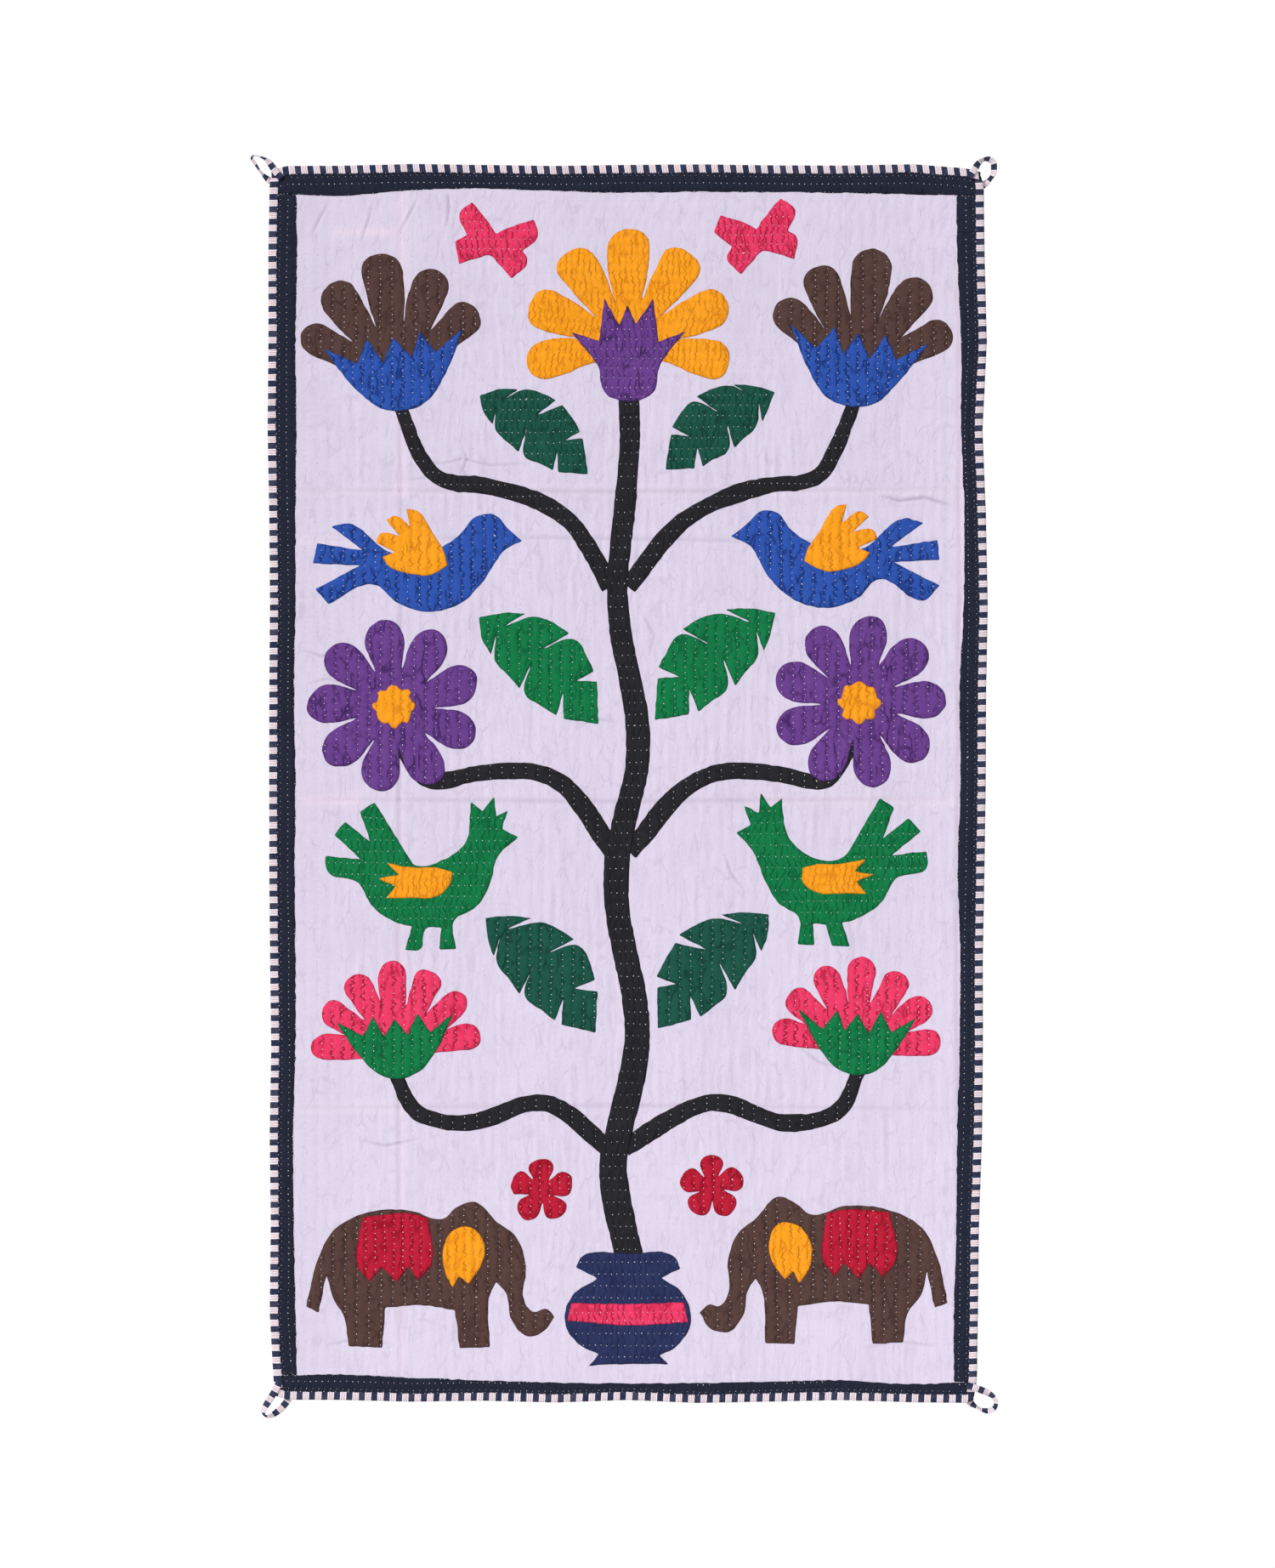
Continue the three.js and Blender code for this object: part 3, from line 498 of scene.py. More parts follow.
@dataclass(frozen=True)
class Cotton(Finish):
    """Plain-woven dyed quilting cotton: matt, smooth, with slightly uneven dye and painted shade in
    wrinkles.

    The real weave is about 0.35 mm from thread to thread. It is drawn at 1.3 mm, because it would
    not show in the render otherwise.
    """

    face: str
    deep: str
    worn: str
    # Rim colour: painted shade along a patch's turned edge; on the lilac cloth, its pinker bands.
    edge: str
    ripple: float = 0.2
    crumple: float = 0.5
    pull: float = 0.8
    sheen: float = 0.02
    gloss: float = 0.08
    roughness: float = 0.92
    # Colour multiplied into wrinkles and creases as painted shade.
    hollow: str = "#A69DAC"

    # Patches of dye, nap, threads and their slubs, in metres.
    DYE, NAP, THREAD, SLUB = 0.055, 0.0045, 0.0013, 0.011
    # How soon a pucker sways and how soon it fades along its line, in millimetres.
    SWAY, FADE = 5.0, 19.0
    # Slanting creases in metres: width and height of a cell, its bends and the gaps in its sides.
    CELL_WIDTH, CELL_HEIGHT, BENDS, GAPS = 0.0135, 0.036, 0.009, 0.02
    # Depth of the creases and of the weave, in metres.
    CREASE_DEPTH, WEAVE_DEPTH = 1.3 * MM, 0.09 * MM

    def shader(self, tree: NodeTree) -> Node:
        """Draws the dyed threads, the rim colour and the painted shade in wrinkles.

        Args:
            tree: Material's tree.

        Returns:
            The shader.
        """
        grain = put(tree, "ShaderNodeUVMap", uv_map="grain").outputs["UV"]
        weave = self.weave(tree, grain)
        dye = put(tree, "ShaderNodeTexNoise", {"Vector": grain, "Scale": 1 / self.DYE, "Detail": 4.0})
        nap = put(tree, "ShaderNodeTexNoise", {"Vector": grain, "Scale": 1 / self.NAP, "Detail": 3.0})
        shade = put(tree, "ShaderNodeMath", {0: dye.outputs["Fac"], 1: weave}, operation="ADD")
        mixed = put(tree, "ShaderNodeMath", {0: shade, 1: nap.outputs["Fac"]}, operation="ADD")
        level = put(tree, "ShaderNodeMapRange", {0: mixed, 1: 0.7, 2: 2.3})
        colour = put(tree, "ShaderNodeValToRGB", {0: level})
        ramp = colour.color_ramp.elements
        ramp[0].color, ramp[1].color = linear(self.deep), linear(self.worn)
        ramp.new(0.5).color = linear(self.face)
        # The rim map paints shade along a patch's turned edge; on the lilac cloth it holds the pinker
        # bands.
        rim = put(tree, "ShaderNodeAttribute", attribute_name="rim").outputs["Fac"]
        edged = put(tree, "ShaderNodeMix", {"Factor": rim, 6: colour, 7: linear(self.edge)},
                    data_type="RGBA")
        # Painted shade: the wrinkle map and the creases darken the colour towards the shade colour.
        hollow = put(tree, "ShaderNodeAttribute", attribute_name="hollow").outputs["Fac"]
        creases = self.creases(tree)
        depth = put(tree, "ShaderNodeMath", {0: hollow, 1: creases}, operation="MAXIMUM")
        shaded = put(tree, "ShaderNodeMix", {
            "Factor": depth, 6: edged.outputs[2], 7: linear(self.hollow)},
            data_type="RGBA", blend_type="MULTIPLY")
        bump = self.bump(tree, grain, weave, creases)
        return put(tree, "ShaderNodeBsdfPrincipled", {
            "Base Color": shaded.outputs[2], "Roughness": self.roughness,
            "Specular IOR Level": self.gloss, "Sheen Weight": self.sheen, "Normal": bump})

    @staticmethod
    def weave(tree: NodeTree, grain: NodeSocket) -> NodeSocket:
        """Draws uneven threads both ways.

        Args:
            tree: Material's tree.
            grain: Coordinates along and across the threads, in metres.

        Returns:
            The weave's height from 0 to 1.
        """
        threads = []
        thin, long = 1 / Cotton.THREAD, 1 / Cotton.SLUB
        for scale in ((thin, long, 1), (long, thin, 1)):
            laid = put(tree, "ShaderNodeMapping", {"Vector": grain, "Scale": scale})
            threads.append(put(tree, "ShaderNodeTexNoise", {
                "Vector": laid, "Scale": 1.0, "Detail": 1.0, "Roughness": 0.4}).outputs["Fac"])
        return put(tree, "ShaderNodeMath", dict(enumerate(threads)), operation="MAXIMUM").outputs[0]

    @staticmethod
    def drawn_up(tree: NodeTree, grain: NodeSocket, scale: tuple[float, float]) -> NodeSocket:
        """Draws long uneven ripples from 0 to 1, of a size along and across in millimetres."""
        laid = put(tree, "ShaderNodeMapping", {
            "Vector": grain, "Scale": (1 / (scale[0] * MM), 1 / (scale[1] * MM), 1)})
        return put(tree, "ShaderNodeTexNoise", {
            "Vector": laid, "Scale": 1.0, "Detail": 2.0, "Distortion": 0.7}).outputs["Fac"]

    def ripples(self, tree: NodeTree, grain: NodeSocket) -> NodeSocket:
        """Returns ripples that run across the rows of stitches."""
        return self.drawn_up(tree, grain, (5.8, 34))

    def creases(self, tree: NodeTree) -> NodeSocket:
        """Draws thin puckers that wander along the stitching, and short slanting creases between them.

        The map named "pucker" holds which pucker a place is at, whole on its line, and how far along
        it lies in metres.

        Args:
            tree: Material's tree.

        Returns:
            How deep in a crease each place is, from 0 to 1; it sets the bump and the painted shade.
        """
        line = put(tree, "ShaderNodeSeparateXYZ", {
            0: put(tree, "ShaderNodeUVMap", uv_map="pucker").outputs["UV"]}).outputs
        whole = put(tree, "ShaderNodeMath", {0: line[0]}, operation="ROUND").outputs[0]
        aside = put(tree, "ShaderNodeMath", {0: line[0], 1: whole}, operation="SUBTRACT").outputs[0]
        swayed = self.along_line(tree, whole, line[1], self.SWAY, (0.35, 0.65, -0.2, 0.2))
        shifted = put(tree, "ShaderNodeMath", {0: aside, 1: swayed}, operation="ADD")
        away = put(tree, "ShaderNodeMath", {0: shifted}, operation="ABSOLUTE")
        thin = put(tree, "ShaderNodeMapRange", {0: away, 1: 0.02, 2: 0.15, 3: 1.0, 4: 0.0},
                   interpolation_type="SMOOTHSTEP")
        drawn = self.along_line(tree, whole, line[1], self.FADE, (0.36, 0.54, 0.0, self.pull))
        pucker = put(tree, "ShaderNodeMath", {0: thin, 1: drawn}, operation="MULTIPLY")
        place = put(tree, "ShaderNodeTexCoord").outputs["Object"]
        bent = put(tree, "ShaderNodeTexNoise", {"Vector": place, "Scale": 1 / self.BENDS, "Detail": 2.0})
        laid = put(tree, "ShaderNodeMapping", {
            "Vector": place, "Rotation": (0, 0.25, 0),
            "Scale": (1 / self.CELL_WIDTH, 0, 1 / self.CELL_HEIGHT)})
        warped = put(tree, "ShaderNodeVectorMath", {
            0: bent.outputs["Color"], 1: (0.6, 0.0, 0.3), 2: laid}, operation="MULTIPLY_ADD")
        cells = put(tree, "ShaderNodeTexVoronoi", {"Vector": warped, "Scale": 1.0},
                    feature="DISTANCE_TO_EDGE")
        fine = put(tree, "ShaderNodeMapRange", {0: cells, 1: 0.01, 2: 0.1, 3: 1.0, 4: 0.0},
                   interpolation_type="SMOOTHSTEP")
        seen = put(tree, "ShaderNodeTexNoise", {"Vector": place, "Scale": 1 / self.GAPS, "Detail": 2.0})
        share = put(tree, "ShaderNodeMapRange", {0: seen.outputs["Fac"], 1: 0.45, 2: 0.6, 4: self.crumple})
        crease = put(tree, "ShaderNodeMath", {0: fine, 1: share}, operation="MULTIPLY")
        return put(tree, "ShaderNodeMath", {0: pucker, 1: crease}, operation="MAXIMUM").outputs[0]

    @staticmethod
    def along_line(tree: NodeTree, whole: NodeSocket, run: NodeSocket,
                   cell: float, span: tuple[float, float, float, float]) -> NodeSocket:
        """Draws noise that changes along a pucker and differs from one to the next.

        Args:
            tree: Material's tree.
            whole: Number of the pucker.
            run: How far along it, in metres.
            cell: Size of the noise along the pucker, in millimetres.
            span: Lowest and highest noise used, and what they become.

        Returns:
            The changed noise.
        """
        apart = put(tree, "ShaderNodeMath", {0: whole, 1: 7.37}, operation="MULTIPLY")
        far = put(tree, "ShaderNodeMath", {0: run, 1: 1 / (cell * MM)}, operation="MULTIPLY")
        spot = put(tree, "ShaderNodeCombineXYZ", {0: apart, 1: far})
        noise = put(tree, "ShaderNodeTexNoise", {"Vector": spot, "Scale": 1.0, "Detail": 1.0})
        return put(tree, "ShaderNodeMapRange", {
            0: noise.outputs["Fac"], 1: span[0], 2: span[1], 3: span[2], 4: span[3]}).outputs[0]

    def bump(self, tree: NodeTree, grain: NodeSocket, weave: NodeSocket, creases: NodeSocket) -> NodeSocket:
        """Adds the threads, fine ripples and creases too narrow for the mesh.

        Args:
            tree: Material's tree.
            grain: Coordinates along and across the threads, in metres.
            weave: Height of the weave.
            creases: Depth of the creases.

        Returns:
            The bumped normal.
        """
        normal = put(tree, "ShaderNodeBump", {
            "Height": self.ripples(tree, grain), "Distance": self.ripple * MM * 3})
        normal = put(tree, "ShaderNodeBump", {
            "Height": creases, "Distance": self.CREASE_DEPTH, "Normal": normal},
            invert=True)
        return put(tree, "ShaderNodeBump", {
            "Height": weave, "Distance": self.WEAVE_DEPTH, "Normal": normal}).outputs[0]


@dataclass(frozen=True)
class GroundCotton(Cotton):
    """The lilac ground cloth, whose fine ripples turn level beside its left edge."""

    turn_at: tuple[float, float] = (-0.335, -0.395)

    def ripples(self, tree: NodeTree, grain: NodeSocket) -> NodeSocket:
        """Draws upright ripples that give way to level ones beside the left edge."""
        share = put(tree, "ShaderNodeMapRange", {
            0: put(tree, "ShaderNodeSeparateXYZ", {0: grain}), 1: self.turn_at[0], 2: self.turn_at[1]})
        return put(tree, "ShaderNodeMix", {
            "Factor": share, 2: self.drawn_up(tree, grain, (5.6, 26)),
            3: self.drawn_up(tree, grain, (24, 5.4))}).outputs[0]


BLACK = Cotton("black_cotton", "#26262A", "#202024", "#2E2E33", "#1C1C20", crumple=0.35, pull=0.45)
ROYAL = Cotton("royal_blue_cotton", "#2D52AA", "#274A9B", "#365BB3", "#1F3C82", crumple=0.8, pull=0.9)
GREEN = Cotton("green_cotton", "#107643", "#0C693A", "#1B814E", "#0B5430", crumple=0.5, pull=0.6)
DARK_GREEN = Cotton("dark_green_cotton", "#1A5243", "#16483B", "#235B4D", "#133D32", crumple=0.65, pull=0.6)
PURPLE = Cotton("purple_cotton", "#673E89", "#5D377E", "#724A94", "#4A2A67", crumple=0.85, pull=0.6)
GOLD = Cotton("gold_cotton", "#F79E1E", "#EF9518", "#FBA830", "#D97F12", crumple=0.42, pull=0.5,
              hollow="#C29F8C")
PINK = Cotton("pink_cotton", "#E73A65", "#DB325C", "#EC4A71", "#BE274C", crumple=0.7, pull=0.95,
              hollow="#C48C98")
RED = Cotton("red_cotton", "#B71B35", "#A9172D", "#C12641", "#8B1226", crumple=0.6, pull=0.75,
             hollow="#B08890")
BROWN = Cotton("brown_cotton", "#543D38", "#4A3430", "#5E4742", "#3E2A27", crumple=0.45, pull=0.6)
POT_NAVY = Cotton("navy_cotton", "#2A325A", "#242B4F", "#323B64", "#1C2242", crumple=0.4, pull=0.5)
STRIP_NAVY = Cotton("border_navy_cotton", "#222636", "#1C202D", "#292E40", "#171A26", crumple=0.25,
                    pull=0.25)
LILAC = GroundCotton("lilac_cotton", "#D8CEE3", "#D2C8DF", "#DDD4E7", "#E5D4E7", ripple=0.14,
                     crumple=0.14)


@dataclass(frozen=True)
class StripedTape(Finish):
    """Woven cotton edging tape: navy bars on pale rose cotton with fine rose lines between them."""

    slot: str = "striped_tape"
    pitch: float = 15.5
    navy: str = "#272E4A"
    pale: str = "#F3EAEF"
    rose: str = "#B88C98"
    soiled: str = "#8C8698"

    def shader(self, tree: NodeTree) -> Node:
        """Draws the bars and lines across the tape, a little soiled.

        Args:
            tree: Material's tree.

        Returns:
            The shader.
        """
        run = put(tree, "ShaderNodeUVMap", uv_map="grain").outputs["UV"]
        worn = put(tree, "ShaderNodeTexNoise", {"Vector": run, "Scale": 1 / 0.003, "Detail": 2.0})
        parts = put(tree, "ShaderNodeSeparateXYZ", {0: run})
        wavy = put(tree, "ShaderNodeMath", {0: worn.outputs["Fac"], 1: 0.9 * MM, 2: parts},
                   operation="MULTIPLY_ADD")
        turns = put(tree, "ShaderNodeMath", {0: wavy, 1: 1 / (self.pitch * MM)}, operation="MULTIPLY")
        share = put(tree, "ShaderNodeMath", {0: turns}, operation="FRACT")
        bars = put(tree, "ShaderNodeValToRGB", {0: share})
        stops = [(0.0, self.navy), (0.49, self.navy), (0.51, self.pale)]
        for line in (0.6, 0.725, 0.85):
            stops += [(line, self.pale), (line + 0.015, self.rose), (line + 0.045, self.rose),
                      (line + 0.06, self.pale)]
        stops.append((0.985, self.pale))
        ramp = bars.color_ramp.elements
        ramp[0].position, ramp[0].color = stops[0][0], linear(stops[0][1])
        ramp[1].position, ramp[1].color = stops[-1][0], linear(stops[-1][1])
        for place, code in stops[1:-1]:
            ramp.new(place).color = linear(code)
        weave = Cotton.weave(tree, run)
        soil = put(tree, "ShaderNodeTexNoise", {"Vector": run, "Scale": 1 / 0.02, "Detail": 4.0})
        dulled = put(tree, "ShaderNodeMapRange", {0: soil.outputs["Fac"], 1: 0.4, 2: 0.75, 4: 0.18})
        colour = put(tree, "ShaderNodeMix", {"Factor": dulled, 6: bars, 7: linear(self.soiled)},
                     data_type="RGBA")
        bump = put(tree, "ShaderNodeBump", {"Height": weave, "Distance": 0.2 * MM})
        return put(tree, "ShaderNodeBsdfPrincipled", {
            "Base Color": colour.outputs[2], "Roughness": 0.88, "Specular IOR Level": 0.12,
            "Sheen Weight": 0.02, "Normal": bump})


@dataclass(frozen=True)
class Thread(Finish):
    """Soft twisted cotton thread, matt with a faint sheen. Its twist is drawn coarser than real."""

    colour: str
    shadow: str

    SUFFIX = ""

    def shader(self, tree: NodeTree) -> Node:
        """Draws the twist of the thread.

        Args:
            tree: Material's tree.

        Returns:
            The shader.
        """
        place = put(tree, "ShaderNodeTexCoord").outputs["Object"]
        twist = put(tree, "ShaderNodeTexNoise", {"Vector": place, "Scale": 1 / 0.0008, "Detail": 1.0})
        tone = put(tree, "ShaderNodeTexNoise", {"Vector": place, "Scale": 1 / 0.02, "Detail": 1.0})
        level = put(tree, "ShaderNodeMath", {0: twist.outputs["Fac"], 1: tone.outputs["Fac"]},
                    operation="MULTIPLY")
        share = put(tree, "ShaderNodeMapRange", {0: level, 1: 0.12, 2: 0.3})
        colour = put(tree, "ShaderNodeMix", {"Factor": share, 6: linear(self.shadow),
                                             7: linear(self.colour)}, data_type="RGBA")
        bump = put(tree, "ShaderNodeBump", {"Height": twist.outputs["Fac"], "Distance": 0.1 * MM})
        return put(tree, "ShaderNodeBsdfPrincipled", {
            "Base Color": colour.outputs[2], "Roughness": 0.7, "Specular IOR Level": 0.3,
            "Sheen Weight": 0.05, "Normal": bump})


WHITE_THREAD = Thread("white_thread", "#E9E5EC", "#C2BCCA")
LILAC_THREAD = Thread("lilac_thread", "#EADFF0", "#C6B7D2")
GOLD_THREAD = Thread("gold_thread", "#FCCB7C", "#EBA540")


@dataclass
class ClothMesh:
    """Points and faces of a cloth piece, gathered before they become an object."""

    places: list[Array] = field(default_factory=list)
    forward: list[Array] = field(default_factory=list)
    grain: list[Array] = field(default_factory=list)
    rim: list[Array] = field(default_factory=list)
    hollow: list[Array] = field(default_factory=list)
    pucker: list[Array] = field(default_factory=list)
    faces: list[tuple[int, ...]] = field(default_factory=list)

    def add(self, places: Array, forward: Array, grain: Array, rim: Array | float = 0.0,
            hollow: Array | float = 0.0, pucker: Array = np.array([[0.5, 0.0]])) -> int:
        """Adds points.

        Args:
            places: x and z of each point.
            forward: How far forward each point is.
            grain: Coordinates along and across the threads.
            rim: Strength of the rim colour: painted shade by a turned edge, the lilac cloth's pinker bands.
            hollow: How deep in a wrinkle each point is, from 0 to 1, which sets its painted shade.
            pucker: Which pucker each point is at and how far along it, none when left out.

        Returns:
            Number of the first point added.
        """
        first = sum(len(p) for p in self.places)
        self.places.append(places)
        self.forward.append(forward)
        self.grain.append(grain)
        self.rim.append(np.broadcast_to(rim, len(places)))
        self.hollow.append(np.broadcast_to(hollow, len(places)))
        self.pucker.append(np.broadcast_to(pucker, (len(places), 2)))
        return first

    def close_behind(self, ring: Array, inner: Array, height: Callable[[Array], Array]) -> None:
        """Adds a face behind and a wall round the edge.

        Args:
            ring: Numbers of the points round the edge, anticlockwise from the front.
            inner: Places of the points inside the face behind.
            height: Works out how far forward that face lies at each place.
        """
        spots, faces, edge, source = triangulated(np.vstack(self.places)[ring], inner)
        first = self.add(spots, height(spots), spots)
        self.faces += [tuple(first + k for k in face[::-1]) for face in faces]
        upper = ring[source]
        for a, b, up, on in zip(edge, np.roll(edge, -1), upper, np.roll(upper, -1)):
            self.faces.append((first + a, first + b, on, up))

    def object(self, name: str, drape: Drape, material: Material) -> Object:
        """Makes the object.

        Args:
            name: Name of the piece.
            drape: Folds of the cloth.
            material: Finish of the piece.

        Returns:
            The new object, smooth shaded.
        """
        places, forward = np.vstack(self.places), np.concatenate(self.forward)
        spots = np.column_stack([places[:, 0], drape.at(places) - forward, places[:, 1]]) * MM
        mesh = bpy.data.meshes.new(name)
        mesh.from_pydata(spots.tolist(), [], self.faces)
        mesh.shade_smooth()
        mesh.materials.append(material)
        corners = np.empty(len(mesh.loops), np.int32)
        mesh.loops.foreach_get("vertex_index", corners)
        for label, given in (("grain", np.vstack(self.grain) * MM), ("pucker", np.vstack(self.pucker))):
            layer = mesh.uv_layers.new(name=label)
            layer.data.foreach_set("uv", given[corners].ravel().astype(np.float32))
        for label, values in (("rim", self.rim), ("hollow", self.hollow)):
            mark(mesh, label, np.concatenate(values))
        return linked(name, mesh)


def triangulated(edge: Array, inner: Array) -> tuple[Array, list[tuple[int, ...]], Array, Array]:
    """Fills a closed line with triangles.

    Args:
        edge: Points of the line, anticlockwise.
        inner: Points inside it.

    Returns:
        All points, anticlockwise triangles, the numbers of the points round the edge in order, and the
        number in edge that each of those had.
    """
    given = [Vector(p) for p in np.vstack([edge, inner])]
    made, _, faces, sources, *_ = delaunay_2d_cdt(given, [], [list(range(len(edge)))], 1, 1e-4)
    spots = np.array([p[:] for p in made])
    turned = []
    for a, b, c in (face for face in faces if len(face) == 3):
        (ax, az), (bx, bz), (cx, cz) = spots[a], spots[b], spots[c]
        area = (bx - ax) * (cz - az) - (bz - az) * (cx - ax)
        turned.append((a, b, c) if area > 0 else (a, c, b))
    edges = {(t[k], t[(k + 1) % 3]) for t in turned for k in range(3)}
    after = {a: b for a, b in edges if (b, a) not in edges}
    start = next(iter(after))
    ring = [start]
    while after[ring[-1]] != start:
        ring.append(after[ring[-1]])
    return spots, turned, np.array(ring), np.array([min(sources[n], default=-1) for n in ring])


@dataclass
class StitchLine:
    """Stitches of one thread, gathered from every piece."""

    places: list[Array] = field(default_factory=list)
    heights: list[Array] = field(default_factory=list)
    turns: list[Array] = field(default_factory=list)
    lengths: list[Array] = field(default_factory=list)
    sizes: list[Array] = field(default_factory=list)

    def add(self, places: Array, heights: Array, turns: Array, lengths: Array, size: float = 1.0) -> None:
        """Adds stitches by place, height forward, turn in radians, length and relative thickness."""
        for kept, new in zip((self.places, self.heights, self.turns, self.lengths, self.sizes),
                             (places, heights, turns, lengths, np.full(len(places), size))):
            kept.append(new)


@dataclass
class Needlework:
    """Every visible stitch, laid as small rounded beads of thread by Geometry Nodes."""

    width: float = 1.18
    depth: float = 1.0
    unevenness: float = 0.26
    lines: dict[str, StitchLine] = field(default_factory=dict)

    def line(self, name: str) -> StitchLine:
        """Returns the named line of stitches, new if there is none yet."""
        return self.lines.setdefault(name, StitchLine())

    def tree(self, name: str, material: Material) -> GeometryNodeTree:
        """Builds the tree that lays a stitch at each point.

        Args:
            name: Name of the stitches.
            material: Finish of the thread.

        Returns:
            The tree, with named inputs for the bead's roundness, the thread's sizes and unevenness.
        """
        tree = bpy.data.node_groups.new(f"{name}_tree", "GeometryNodeTree")
        face = tree.interface
        face.new_socket("Geometry", in_out="INPUT", socket_type="NodeSocketGeometry")
        for label in ("Thread width", "Thread depth", "Unevenness"):
            face.new_socket(label, in_out="INPUT", socket_type="NodeSocketFloat")
        for label in ("Sides", "Rings", "Seed"):
            face.new_socket(label, in_out="INPUT", socket_type="NodeSocketInt")
        face.new_socket("Geometry", in_out="OUTPUT", socket_type="NodeSocketGeometry")
        given = put(tree, "NodeGroupInput").outputs
        bead = put(tree, "GeometryNodeMeshUVSphere", {
            "Radius": 0.5, "Segments": given["Sides"], "Rings": given["Rings"]})
        turn, length, size = (
            put(tree, "GeometryNodeInputNamedAttribute", {"Name": label}, data_type="FLOAT").outputs[0]
            for label in ("turn", "length", "size"))
        least = put(tree, "ShaderNodeMath", {0: 1.0, 1: given["Unevenness"]}, operation="SUBTRACT")
        most = put(tree, "ShaderNodeMath", {0: 1.0, 1: given["Unevenness"]}, operation="ADD")
        varied = put(tree, "FunctionNodeRandomValue", {2: least, 3: most, "Seed": given["Seed"]},
                     data_type="FLOAT")
        deep = put(tree, "ShaderNodeMath", {0: given["Thread depth"], 1: size}, operation="MULTIPLY")
        wide = put(tree, "ShaderNodeMath", {0: given["Thread width"], 1: size}, operation="MULTIPLY")
        whole = put(tree, "ShaderNodeCombineXYZ", {0: length, 1: deep, 2: wide})
        scale = put(tree, "ShaderNodeVectorMath", {0: whole, 3: varied.outputs[1]}, operation="SCALE")
        angles = put(tree, "ShaderNodeCombineXYZ", {1: turn})
        rotation = put(tree, "FunctionNodeEulerToRotation", {0: angles})
        laid = put(tree, "GeometryNodeInstanceOnPoints", {
            "Points": given["Geometry"], "Instance": bead, "Rotation": rotation, "Scale": scale})
        real = put(tree, "GeometryNodeRealizeInstances", {"Geometry": laid})
        smooth = put(tree, "GeometryNodeSetShadeSmooth", {"Geometry": real})
        dyed = put(tree, "GeometryNodeSetMaterial", {"Geometry": smooth, "Material": material})
        put(tree, "NodeGroupOutput", {0: dyed})
        return tree

    def build(self, name: str, thread: Thread, drape: Drape, sides: int, seed: int) -> Object:
        """Makes one line of stitches into a mesh.

        Args:
            name: Name of the line and of the piece.
            thread: Finish of the thread.
            drape: Folds of the cloth.
            sides: Number of sides of a bead, more where it stands out.
            seed: Fixes the unevenness.

        Returns:
            The stitches as one plain mesh.
        """
        line = self.lines[name]
        places, heights = np.vstack(line.places), np.concatenate(line.heights)
        spots = np.column_stack([places[:, 0], drape.at(places) - heights, places[:, 1]]) * MM
        mesh = bpy.data.meshes.new(f"{name}_points")
        mesh.from_pydata(spots.tolist(), [], [])
        for label, values in (("turn", -np.concatenate(line.turns)), ("size", np.concatenate(line.sizes)),
                              ("length", np.concatenate(line.lengths) * MM)):
            mark(mesh, label, values)
        points = linked(f"{name}_points", mesh)
        modifier = points.modifiers.new("stitches", "NODES")
        modifier.node_group = self.tree(name, thread.material())
        wanted = {"Thread width": self.width * MM, "Thread depth": self.depth * MM,
                  "Unevenness": self.unevenness, "Sides": sides, "Rings": sides - 2, "Seed": seed}
        for item in modifier.node_group.interface.items_tree:
            if item.in_out == "INPUT" and item.name in wanted:
                modifier[item.identifier] = wanted[item.name]
        points.update_tag()
        graph = bpy.context.evaluated_depsgraph_get()
        sewn = bpy.data.meshes.new_from_object(points.evaluated_get(graph))
        bpy.data.objects.remove(points)
        return linked(name, sewn)


@dataclass(frozen=True)
class Crease:
    """A wrinkle at a given place: a soft trough along a line, with a low ridge on each side."""

    line: tuple[tuple[float, float], ...]
    width: float = 2.0
    depth: float = 0.5

    # In widths from the line: how far it reaches, where its ridges lie, and the points that hold it.
    REACH, RIDGE, ACROSS = 4.0, 1.7, (-2.4, -1.5, -0.7, 0, 0.7, 1.5, 2.4)
    # Height of a ridge beside the trough's depth.
    RIDGE_SHARE = 0.45

    def at(self, places: Array) -> Array:
        """Works out the wrinkle's height.

        Args:
            places: x and z of each place.

        Returns:
            The height to add in millimetres.
        """
        points = np.array(self.line)
        low, high = points.min(0) - self.REACH * self.width, points.max(0) + self.REACH * self.width
        near = np.all((places > low) & (places < high), axis=1)
        height = np.zeros(len(places))
        if not near.any():
            return height
        some, best, share = places[near], np.full(near.sum(), np.inf), np.zeros(near.sum())
        total, run = length_of(points), 0.0
        for a, b in zip(points, points[1:]):
            step = b - a
            t = np.clip(((some - a) @ step) / (step @ step), 0, 1)
            away = np.linalg.norm(some - (a + t[:, None] * step), axis=1)
            closer = away < best
            best = np.where(closer, away, best)
            share = np.where(closer, (run + t * np.linalg.norm(step)) / total, share)
            run += np.linalg.norm(step)
        fade = np.sin(np.pi * np.clip(share, 0.02, 0.98)) ** 0.5
        q = best / self.width
        ridge = self.RIDGE_SHARE * np.exp(-((q - self.RIDGE) ** 2) / 0.6)
        height[near] = self.depth * fade * (ridge - np.exp(-(q**2)))
        return height

    def stations(self, step: float) -> Array:
        """Spreads places along the wrinkle, close enough together to hold its shape.

        Args:
            step: Step along the wrinkle in millimetres.

        Returns:
            x and z of each place.
        """
        points = np.array(self.line)
        spots = along(points, np.linspace(0, 1, int(length_of(points) / step) + 1))
        heading = np.gradient(spots, axis=0)
        heading /= np.linalg.norm(heading, axis=1, keepdims=True)
        sideways = np.column_stack([-heading[:, 1], heading[:, 0]])
        return np.vstack([spots + q * self.width * sideways for q in self.ACROSS])


